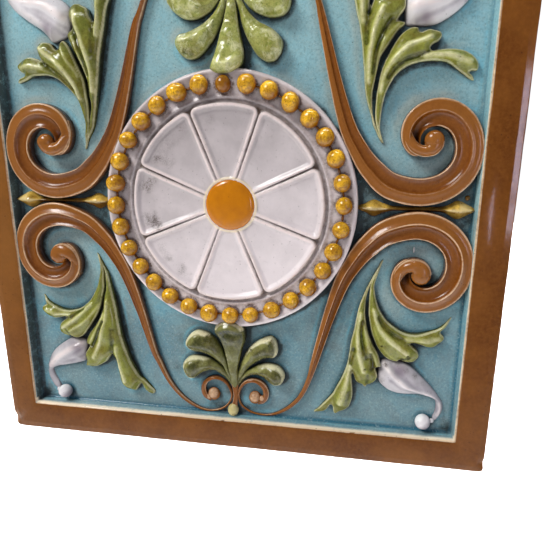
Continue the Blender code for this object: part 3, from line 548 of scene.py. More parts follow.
# Outlines of the half leaves, read off the tile quarter by quarter: down the free edge, back up the slit
LEAVES = {
    "leaf_lower_right_inner": [
        (58.3, -19.5), (57.0, -22.3), (55.5, -25.2), (54.6, -27.2), (53.1, -30.5), (51.7, -34.2),
        (50.5, -38.3), (49.8, -42.5), (49.2, -46.6), (48.2, -51.6), (47.8, -55.7), (47.2, -60.6),
        (46.1, -64.8), (44.7, -68.5), (43.2, -71.8), (41.8, -75.1), (39.9, -78.0), (37.9, -80.5),
        (36.2, -82.8), (34.1, -84.8), (36.2, -84.6), (38.3, -83.8), (39.9, -81.7), (40.8, -80.3),
        (41.9, -80.9), (42.2, -82.4), (42.4, -83.8), (43.2, -84.2), (44.3, -83.2), (45.7, -82.6),
        (47.4, -81.3), (48.6, -79.2), (49.4, -75.9), (49.4, -73.0), (49.1, -69.3), (48.8, -66.0),
        (49.0, -64.2), (49.8, -65.6), (50.7, -68.1), (52.1, -69.3), (53.2, -69.7), (54.4, -70.8),
        (55.0, -69.9), (56.5, -69.1), (58.1, -67.7), (58.7, -66.0), (58.6, -64.4), (57.9, -62.7),
        (58.5, -61.9), (59.8, -61.5), (59.7, -60.6), (59.1, -58.2), (58.3, -55.7), (56.9, -53.2),
        (55.5, -50.3), (54.3, -47.4), (53.5, -44.1), (52.9, -40.8), (52.8, -36.7), (53.1, -33.0),
        (54.2, -29.6), (55.4, -27.0), (56.8, -23.8)],
    "leaf_lower_right_outer": [
        (58.6, -19.3), (57.7, -22.3), (56.8, -25.0), (56.1, -27.5), (55.8, -30.1), (56.5, -33.8),
        (57.7, -37.5), (59.4, -40.4), (61.4, -42.9), (64.3, -45.1), (67.2, -46.8), (70.1, -47.6),
        (73.0, -47.6), (75.9, -46.8), (78.8, -46.0), (81.3, -44.7), (83.3, -42.9), (85.2, -40.4),
        (83.9, -43.3), (82.5, -44.9), (81.4, -46.0), (81.7, -47.2), (82.7, -48.0), (82.7, -49.1),
        (81.3, -50.5), (79.2, -52.0), (76.7, -52.0), (74.2, -51.1), (71.8, -50.7), (70.1, -50.9),
        (71.3, -52.4), (73.0, -54.0), (74.0, -56.1), (73.4, -57.5), (71.8, -58.8), (69.7, -58.8),
        (67.0, -58.2), (66.0, -59.0), (64.3, -58.8), (62.2, -57.8), (60.4, -56.1), (58.6, -53.6),
        (57.0, -50.3), (55.9, -47.4), (55.1, -44.1), (54.5, -40.8), (54.3, -37.5), (54.3, -33.8),
        (54.4, -31.2), (54.6, -28.6), (55.6, -25.6), (57.2, -22.4)],
    "leaf_lower_left_inner": [
        (-56.5, -21.6), (-55.2, -24.2), (-54.0, -26.5), (-52.7, -29.0), (-51.8, -32.0), (-51.1, -35.8),
        (-50.2, -39.6), (-49.4, -44.1), (-48.8, -48.2), (-48.2, -52.4), (-47.6, -56.5), (-46.7, -60.6),
        (-45.7, -64.0), (-44.5, -67.7), (-42.8, -71.4), (-41.2, -74.7), (-39.1, -76.8), (-37.0, -79.2),
        (-35.4, -81.3), (-35.6, -82.7), (-37.0, -83.0), (-38.7, -81.3), (-39.9, -79.2), (-40.7, -77.8),
        (-42.0, -79.2), (-42.8, -80.5), (-43.6, -81.3), (-46.1, -80.9), (-47.8, -79.7), (-49.2, -77.6),
        (-49.8, -74.3), (-50.2, -71.0), (-50.5, -67.7), (-51.1, -65.2), (-52.1, -64.2), (-54.0, -66.2),
        (-55.6, -68.3), (-57.7, -69.7), (-59.8, -70.8), (-61.8, -71.2), (-63.9, -71.0), (-65.0, -70.8),
        (-64.5, -68.5), (-64.9, -66.4), (-64.5, -64.8), (-63.1, -62.7), (-62.3, -61.3), (-63.5, -60.9),
        (-63.9, -59.8), (-63.1, -57.8), (-61.4, -55.3), (-58.9, -52.4), (-56.4, -48.7), (-55.0, -45.4),
        (-54.3, -42.0), (-53.6, -38.8), (-53.1, -36.0), (-52.9, -32.8), (-53.2, -29.6), (-54.2, -26.4),
        (-55.6, -23.6)],
    "leaf_lower_left_outer": [
        (-57.0, -21.2), (-55.9, -23.8), (-55.4, -26.3), (-55.6, -29.6), (-56.3, -33.4), (-57.7, -36.7),
        (-59.8, -40.4), (-62.2, -42.9), (-64.9, -44.9), (-67.6, -45.8), (-70.1, -46.4), (-72.6, -46.4),
        (-75.1, -46.0), (-77.5, -45.1), (-80.0, -43.9), (-81.6, -42.4), (-83.1, -40.4), (-82.3, -42.8),
        (-81.3, -44.5), (-82.1, -44.9), (-83.5, -45.8), (-83.5, -47.0), (-82.1, -48.5), (-80.0, -49.7),
        (-77.5, -49.9), (-75.1, -49.5), (-72.6, -48.9), (-71.1, -49.1), (-72.6, -50.3), (-74.6, -52.0),
        (-75.7, -54.0), (-75.7, -55.9), (-74.2, -57.3), (-72.2, -57.8), (-70.1, -58.0), (-68.4, -58.4),
        (-66.4, -57.8), (-64.3, -56.1), (-62.6, -54.0), (-60.6, -51.6), (-58.9, -49.1), (-57.2, -46.0),
        (-56.0, -43.1), (-55.2, -40.6), (-54.7, -38.2), (-54.2, -35.4), (-54.1, -32.5), (-54.2, -29.2),
        (-54.7, -25.8)],
    "leaf_upper_right_inner": [
        (55.9, 22.9), (54.6, 24.8), (53.5, 27.0), (52.5, 28.9), (51.5, 32.2), (50.3, 35.6), (49.4, 38.9),
        (48.8, 42.6), (48.4, 46.7), (47.8, 50.9), (47.4, 54.6), (46.7, 58.3), (46.1, 61.6), (45.1, 64.9),
        (44.3, 68.5), (43.0, 71.9), (41.6, 75.1), (39.9, 78.0), (37.9, 80.5), (36.2, 82.8), (34.2, 84.6),
        (36.4, 84.5), (38.4, 83.6), (39.9, 81.6), (40.8, 80.2), (41.8, 80.9), (42.4, 83.2), (43.3, 84.0),
        (44.5, 83.1), (46.0, 82.5), (47.6, 81.0), (48.7, 79.0), (49.3, 75.9), (49.4, 73.0), (49.1, 69.8),
        (48.9, 66.6), (49.1, 64.6), (49.8, 66.2), (50.7, 68.8), (52.1, 70.4), (54.2, 71.6), (56.6, 71.8),
        (58.9, 70.8), (60.3, 69.4), (60.8, 67.6), (60.6, 65.7), (59.0, 63.4), (58.3, 62.0), (59.6, 61.8),
        (61.0, 61.3), (60.2, 60.4), (58.9, 59.3), (56.9, 56.2), (55.0, 53.3), (53.5, 50.9), (52.6, 47.1),
        (52.0, 43.4), (51.4, 39.7), (51.5, 36.0), (51.9, 32.6), (52.9, 29.6), (54.1, 26.6)],
    "leaf_upper_right_outer": [
        (56.2, 22.8), (55.4, 25.2), (54.7, 27.6), (54.6, 29.8), (54.8, 33.1), (55.2, 36.4), (56.0, 39.7),
        (57.3, 42.6), (58.9, 45.1), (61.0, 47.1), (63.5, 48.4), (66.4, 49.2), (69.3, 49.6), (72.2, 49.6),
        (75.1, 49.2), (77.5, 48.0), (80.0, 46.3), (82.7, 44.4), (84.8, 43.4), (84.0, 44.8), (82.6, 46.0),
        (83.7, 46.6), (85.2, 46.5), (85.6, 47.6), (85.2, 49.2), (83.7, 50.9), (81.3, 52.3), (78.8, 52.9),
        (75.9, 53.1), (73.0, 52.9), (70.3, 52.5), (69.5, 53.6), (70.5, 54.8), (72.2, 55.8), (73.0, 57.1),
        (72.6, 58.3), (70.5, 58.9), (68.9, 59.1), (66.8, 58.4), (65.5, 58.7), (65.3, 59.7), (63.7, 59.9),
        (61.8, 59.1), (59.8, 57.5), (58.1, 55.0), (56.5, 52.1), (55.0, 48.8), (54.0, 45.5), (53.4, 41.8),
        (53.0, 38.0), (52.9, 34.3), (53.1, 30.8), (53.9, 27.8), (55.0, 25.0)],
    "leaf_upper_left_inner": [
        (-57.6, 20.0), (-56.6, 22.7), (-55.3, 25.0), (-54.0, 27.0), (-52.7, 30.2), (-51.7, 34.3),
        (-50.7, 38.4), (-49.8, 42.6), (-49.0, 46.7), (-48.2, 50.8), (-47.4, 55.0), (-46.5, 58.7),
        (-45.5, 62.4), (-44.7, 66.1), (-43.8, 69.5), (-42.7, 72.2), (-41.2, 75.0), (-39.1, 77.2),
        (-37.2, 79.4), (-35.6, 81.6), (-35.6, 82.8), (-37.0, 83.0), (-38.7, 81.3), (-39.9, 79.2),
        (-40.9, 78.0), (-42.0, 79.4), (-42.8, 80.7), (-43.8, 81.4), (-46.1, 80.9), (-47.6, 79.5),
        (-48.5, 77.4), (-48.8, 74.6), (-48.5, 71.9), (-48.3, 69.9), (-48.2, 67.4), (-48.8, 64.4),
        (-50.2, 65.3), (-51.3, 67.4), (-52.0, 69.2), (-53.6, 70.1), (-55.2, 70.8), (-56.9, 70.5),
        (-58.3, 68.8), (-58.5, 66.6), (-57.6, 64.1), (-57.9, 62.2), (-59.3, 61.4), (-59.8, 60.2),
        (-58.9, 57.7), (-57.6, 55.0), (-56.0, 52.2), (-54.5, 49.2), (-53.5, 45.9), (-53.1, 42.6),
        (-52.9, 38.4), (-53.1, 34.7), (-54.0, 31.2), (-54.8, 28.2), (-56.0, 24.6)],
    "leaf_upper_left_outer": [
        (-58.0, 19.8), (-57.4, 22.7), (-57.0, 25.4), (-56.5, 28.2), (-56.4, 31.4), (-57.1, 34.7),
        (-58.1, 38.0), (-59.8, 40.5), (-62.2, 43.0), (-64.7, 45.1), (-67.2, 46.3), (-70.1, 46.9),
        (-73.8, 46.9), (-76.7, 46.5), (-79.2, 45.5), (-81.3, 44.7), (-82.9, 44.4), (-81.8, 45.9),
        (-80.0, 46.6), (-79.4, 47.5), (-80.8, 48.2), (-82.1, 49.6), (-81.7, 50.8), (-79.6, 52.1),
        (-76.7, 53.1), (-73.4, 52.5), (-70.9, 51.5), (-70.3, 51.6), (-71.7, 53.3), (-72.8, 55.4),
        (-72.6, 57.1), (-71.3, 58.1), (-68.9, 58.1), (-67.2, 57.5), (-66.0, 56.0), (-64.8, 55.4),
        (-63.9, 56.0), (-63.5, 57.5), (-62.4, 58.5), (-61.4, 58.1), (-59.8, 56.2), (-58.2, 53.3),
        (-57.1, 51.0), (-56.3, 48.6), (-55.2, 45.7), (-54.6, 42.4), (-54.4, 38.4), (-54.5, 34.3),
        (-54.8, 30.6), (-55.4, 27.2), (-56.6, 23.4)],
}
# Ridges and troughs of each half leaf: line, height, width
LEAF_RIDGES = {
    "leaf_lower_right_inner": [
        ([(51.2, -40), (50.5, -46.6), (50.9, -51.6), (51.5, -55.7), (52.5, -59.8), (53.6, -62.7)], 0.9, 0.9),
        ([(53.1, -44.9), (54.4, -49.9), (55.0, -52.4), (57.4, -57.6), (58.9, -60.6)], 0.7, 0.8),
        ([(52.0, -43.0), (51.9, -47.4), (52.7, -52.4), (54.6, -57.5)], -0.9, 0.7),
        ([(56.0, -55.7), (56.9, -59.4), (56.8, -62.0)], -1.2, 0.8),
        ([(49.4, -54.0), (48.3, -59.5), (48.8, -63.5)], -0.8, 0.8),
        ([(48.0, -62.0), (46.9, -69.3), (45.5, -73.9), (44.5, -78.0)], 0.9, 1.1),
        ([(48.3, -73.0), (47.2, -78.5)], -0.5, 0.8),
        ([(53.8, -61.9), (53.9, -62.1)], -1.6, 0.35),
        ([(55.2, -64.5), (54.8, -69.6)], -0.5, 0.6)],
    "leaf_lower_right_outer": [
        ([(56.3, -38.5), (58.1, -43.7), (60.6, -47.4), (63.9, -50.3), (66.4, -52.4), (69.4, -54.4)],
         1.1, 0.9),
        ([(58.0, -41.0), (59.8, -43.9), (64.3, -47.6), (68.4, -49.5)], -1.1, 0.75),
        ([(69.0, -48.9), (75.5, -49.1), (81.0, -48.6)], 0.7, 1.1),
        ([(56.6, -45.0), (59.0, -50.5), (62.5, -55.5), (65.5, -58.0)], 0.25, 0.5),
        ([(59.8, -52.0), (59.9, -52.1)], -1.5, 0.35), ([(69.7, -55.3), (69.8, -55.4)], -1.5, 0.35),
        ([(67.5, -57.8), (70.5, -56.5)], -0.8, 0.5)],
    "leaf_lower_left_inner": [
        ([(-52.3, -41), (-53.0, -47.4), (-54.6, -53.2), (-56.4, -58.2), (-58.5, -62.7), (-60.2, -66.0)],
         0.9, 0.9),
        ([(-54.6, -46.5), (-56.0, -50.3), (-58.9, -55.7), (-61.4, -59.8)], 0.7, 0.8),
        ([(-54.6, -49.5), (-56.9, -53.6), (-59.3, -58.2), (-61.0, -61.5)], -1.1, 0.7),
        ([(-50.4, -53.0), (-50.8, -58.5), (-51.6, -63.5)], -0.6, 1.0),
        ([(-49.2, -60.5), (-48.2, -69.7), (-46.9, -75.9)], 0.9, 1.0)],
    "leaf_lower_left_outer": [
        ([(-56.0, -42.5), (-59.8, -47.4), (-63.1, -50.3), (-66.4, -52.4), (-69.7, -54.4)], 0.6, 0.6),
        ([(-59.5, -42.5), (-63.1, -45.8), (-66.4, -48.7), (-69.7, -51.1), (-73.4, -53.6)], 0.9, 0.9),
        ([(-62.5, -44.6), (-65.5, -46.4), (-68.9, -48.7)], -0.9, 0.6),
        ([(-70.5, -47.6), (-76.0, -47.8), (-81.5, -46.8)], 0.6, 1.0)],
    "leaf_upper_right_inner": [
        ([(49.9, 43.0), (49.8, 49.2), (50.3, 54.2), (51.5, 60.4), (53.6, 65.7)], 0.9, 1.0),
        ([(52.0, 46.0), (53.4, 52.5), (56.4, 58.0), (59.0, 60.6)], 0.5, 0.7),
        ([(51.4, 46.0), (52.2, 53.0), (54.6, 59.5), (56.6, 62.5)], -1.0, 0.7),
        ([(48.9, 55.0), (48.6, 60.0), (49.0, 64.5)], -0.7, 0.8),
        ([(47.2, 62.0), (46.6, 69.3), (45.5, 73.9), (44.5, 78.0)], 0.9, 1.1)],
    "leaf_upper_right_outer": [
        ([(54.2, 40.0), (54.8, 44.2), (56.9, 48.4), (59.8, 51.7), (63.1, 54.2), (66.0, 55.4), (69.5, 56.6)],
         0.9, 0.9),
        ([(56.6, 44.6), (58.1, 46.9), (61.4, 49.5), (65.5, 50.9), (69.0, 51.8)], -1.2, 0.7),
        ([(68.5, 50.9), (75.5, 51.1), (82.8, 49.2)], 0.8, 1.1)],
    "leaf_upper_left_inner": [
        ([(-50.9, 41.0), (-50.7, 47.1), (-51.5, 52.5), (-53.1, 57.5), (-54.8, 63.3), (-55.8, 68.0)],
         0.9, 0.9),
        ([(-53.1, 46.0), (-53.6, 50.0), (-54.8, 54.2), (-57.3, 59.5)], 0.7, 0.8),
        ([(-52.5, 46.5), (-52.9, 50.5), (-54.0, 54.2), (-56.0, 59.8), (-57.0, 62.5)], -1.0, 0.7),
        ([(-49.4, 54.0), (-49.0, 59.5), (-48.9, 64.0)], -0.7, 0.8),
        ([(-47.4, 60.0), (-46.4, 68.5), (-45.6, 74.5), (-44.8, 78.5)], 0.9, 1.0)],
    "leaf_upper_left_outer": [
        ([(-56.4, 38.5), (-57.7, 42.6), (-60.6, 47.5), (-63.9, 50.8), (-67.2, 53.3), (-70.5, 56.0)],
         0.9, 0.9),
        ([(-56.2, 46.0), (-57.3, 48.4), (-59.8, 51.7), (-62.2, 56.0)], 0.5, 0.7),
        ([(-58.6, 41.0), (-63.1, 46.2), (-67.2, 49.2), (-70.0, 50.6)], -1.1, 0.7),
        ([(-70.0, 49.0), (-75.5, 49.9), (-80.0, 49.4)], 0.7, 1.0)],
}
LEAF_LEVELS = [(58.0, -20.0, 0.18), (55.2, -27.0, 0.42), (54.0, -34.0, 0.62), (53.5, -42.0, 0.8),
               (52.0, -55.0, 1.0),
               (53.5, -64.0, 0.98), (54.3, -70.0, 0.62), (46.5, -68.0, 0.85), (45.0, -77.0, 0.8),
               (43.6, -83.2, 0.4), (40.5, -78.5, 0.4), (34.8, -84.5, 0.12), (59.3, -60.5, 0.7),
               (62.0, -50.0, 0.98), (69.0, -54.0, 0.95), (73.2, -57.0, 0.6), (65.5, -58.5, 0.65),
               (75.5, -49.8, 0.8), (82.2, -48.6, 0.5), (80.5, -46.0, 0.45), (84.8, -41.0, 0.12)]


def make_leaves():
    for name, outline in LEAVES.items():
        leaf = pressed(name, outline, LEAF_RISE, edge=0.66, dome=2.4, rim=1.0,
                       levels=flipped(LEAF_LEVELS, *quarter(name)), ridges=LEAF_RIDGES[name])
        tone = 0.46 + 1.5 * (mask_of(leaf, "tone") - 0.5)
        give_mask(leaf, "tone", unit(tone * (0.72 if "upper_left" in name else 1)))


BUD_RISE = 4.6
BUDS = {
    "bud_lower_right": [
        (59.6, -59.9), (59.1, -62.5), (59.1, -64.8), (59.4, -67.3), (60.6, -69.3), (62.7, -71.0),
        (65.1, -72.2), (68.0, -72.8), (71.3, -72.7), (74.6, -72.5), (77.5, -72.9), (80.4, -73.8),
        (82.0, -74.9), (82.5, -76.6), (82.5, -78.4), (82.3, -80.5), (81.6, -82.8), (82.5, -83.8),
        (83.8, -82.1), (84.8, -79.7), (85.0, -77.6), (84.4, -75.6), (83.3, -73.9), (81.3, -71.2),
        (78.8, -68.4), (75.9, -65.5), (73.0, -62.7), (70.1, -60.6), (67.2, -59.4), (63.1, -59.2)],
    "bud_lower_left": [
        (-65.1, -59.6), (-68.9, -58.9), (-71.7, -59.4), (-74.6, -61.1), (-77.5, -63.1), (-80.4, -65.6),
        (-82.5, -68.5), (-83.9, -71.8), (-84.7, -74.7), (-84.8, -77.2), (-84.1, -80.1), (-82.8, -82.8),
        (-81.3, -84.2), (-79.9, -83.6), (-80.4, -81.3), (-81.7, -78.8), (-82.5, -76.6), (-82.9, -75.0),
        (-81.7, -73.9), (-78.8, -72.8), (-75.5, -72.0), (-72.2, -71.2), (-68.9, -70.2), (-66.0, -68.9),
        (-65.2, -65.2), (-64.4, -61.5)],
    "bud_upper_right": [
        (61.4, 61.2), (63.2, 60.7), (65.1, 60.7), (68.4, 60.7), (71.3, 61.2), (74.6, 62.8), (77.5, 64.9),
        (80.0, 67.3), (82.2, 70.2), (84.0, 73.2), (84.8, 75.6), (85.0, 77.8), (84.7, 79.9), (83.7, 82.1),
        (82.5, 83.8), (81.6, 82.8), (82.3, 80.5), (82.5, 78.4), (82.3, 76.4), (81.0, 74.6), (78.4, 73.4),
        (74.8, 73.0), (71.3, 73.2), (68.0, 73.4), (65.1, 72.8), (62.7, 71.4), (61.3, 69.4), (60.8, 66.8),
        (60.9, 63.8)],
    "bud_upper_left": [
        (-61.4, 60.2), (-63.5, 59.3), (-66.8, 58.5), (-68.9, 60.9), (-71.3, 63.1), (-74.2, 64.8),
        (-77.5, 66.9), (-80.8, 69.4), (-83.2, 72.2), (-84.5, 74.8), (-84.9, 77.2), (-84.1, 80.1),
        (-82.8, 82.8), (-81.3, 84.2), (-79.9, 83.6), (-80.4, 81.3), (-81.7, 78.8), (-82.5, 76.8),
        (-81.4, 74.9), (-78.8, 73.9), (-75.5, 73.5), (-72.2, 73.7), (-68.9, 74.0), (-65.0, 73.6),
        (-61.6, 72.0), (-59.6, 70.3), (-58.6, 68.6), (-58.6, 65.7), (-59.4, 62.6)],
}
BUD_RIDGES = {
    "bud_lower_right": [
        ([(61.4, -60.6), (64.3, -63.5), (67.2, -66.0), (71.3, -69.3), (77.0, -72.0), (81.0, -74.0)],
         0.6, 1.2),
        ([(64.5, -66.4), (68.4, -69.6), (72.4, -71.4), (77.0, -72.4)], -0.35, 0.7),
        ([(64.0, -60.8), (68.0, -64.2), (71.6, -67.6), (76.0, -70.4)], -0.55, 1.1),
        ([(83.6, -76.0), (84.0, -78.4), (83.2, -81.0)], 0.7, 0.9)],
    "bud_lower_left": [([(-66.5, -61.0), (-72.2, -64.0), (-78.4, -68.2), (-82.5, -72.5)], 0.9, 1.5),
                       ([(-66.5, -66.2), (-70.5, -68.6), (-76.0, -70.6)], -0.4, 0.9),
                       ([(-67.5, -63.4), (-72.0, -66.6), (-77.0, -69.8)], -0.35, 0.8)],
    "bud_upper_right": [([(63.0, 66.0), (69.3, 67.6), (76.0, 69.8), (81.5, 72.8)], 0.9, 1.6),
                        ([(65.1, 61.9), (69.3, 63.6), (73.4, 65.4), (77.5, 68.0)], -0.55, 1.0),
                        ([(64.0, 69.6), (70.0, 70.6), (76.0, 71.8)], -0.7, 0.7)],
    "bud_upper_left": [([(-61.0, 66.5), (-68.0, 71.0), (-76.0, 72.4), (-82.0, 74.5)], 0.9, 1.6),
                       ([(-74.3, 68.4), (-67.2, 64.9), (-62.1, 61.2)], -0.35, 1.0),
                       ([(-77.5, 69.0), (-71.5, 65.5), (-66.5, 61.0)], 0.4, 1.1),
                       ([(-76.0, 70.4), (-68.0, 67.6), (-61.0, 63.4)], -0.3, 0.8)],
}
BUD_LEVELS = [(60.5, -61.0, 0.6), (63.5, -65.5, 1.0), (70.0, -68.0, 1.0), (76.0, -70.6, 0.85),
              (81.5, -73.4, 0.62), (84.0, -77.0, 0.5), (82.4, -83.0, 0.42)]
# Rust spots on the lower right bud, and the pearls with their size
BUD_STAINS = [(62.0, -60.5), (66.0, -60.4), (70.0, -62.0), (73.5, -64.5), (77.0, -67.6), (61.0, -67.5)]
PEARLS = {"pearl_lower_right": (77.7, -84.2, 3.05), "pearl_lower_left": (-76.9, -84.6, 2.95),
          "pearl_upper_right": (77.7, 84.2, 3.3), "pearl_upper_left": (-76.9, 84.6, 3.2)}


def make_buds():
    for name, outline in BUDS.items():
        bud = pressed(name, outline, BUD_RISE, edge=0.42, dome=4.6, rim=0.2, brow=0.6,
                      levels=flipped(BUD_LEVELS, *quarter(name)), ridges=BUD_RIDGES[name])
        x, z, h = places(bud)
        dull = {"bud_lower_left": 0.45, "bud_lower_right": 0.6}.get(name, 1)
        weaken(bud, "tone", dull * (1 - 0.4 * step_up(np.abs(x), 78, 83)))
        if name == "bud_lower_right":
            give_mask(bud, "stain", unit(sum(spot(x, z, a, b, 1.5) for a, b in BUD_STAINS)) * 0.8)
        blush(bud)
    for name, (x, z, radius) in PEARLS.items():
        pearl = make_ball(name, x, z, radius, 2.0, flat=1.0)
        # painted light: the pearl lighter on its upper left, greyer below
        give_mask(pearl, "tone", unit(0.42 + 0.75 * read_slope(pearl)))
        blush(pearl)
        blush(make_ball(name.replace("pearl", "pearl_neck"), x + math.copysign(3.5, x),
                        z - math.copysign(0.3, z), 0.95, 1.1, flat=1.0))


def blush(piece):
    """The grey flush on the root of each bud."""
    x, z, h = places(piece)
    give_mask(piece, "blush", spot(x, z, np.sign(x.mean()) * 67.5, np.sign(z.mean()) * 62.5, 2.6))


PALMETTE_RISE = 5.8
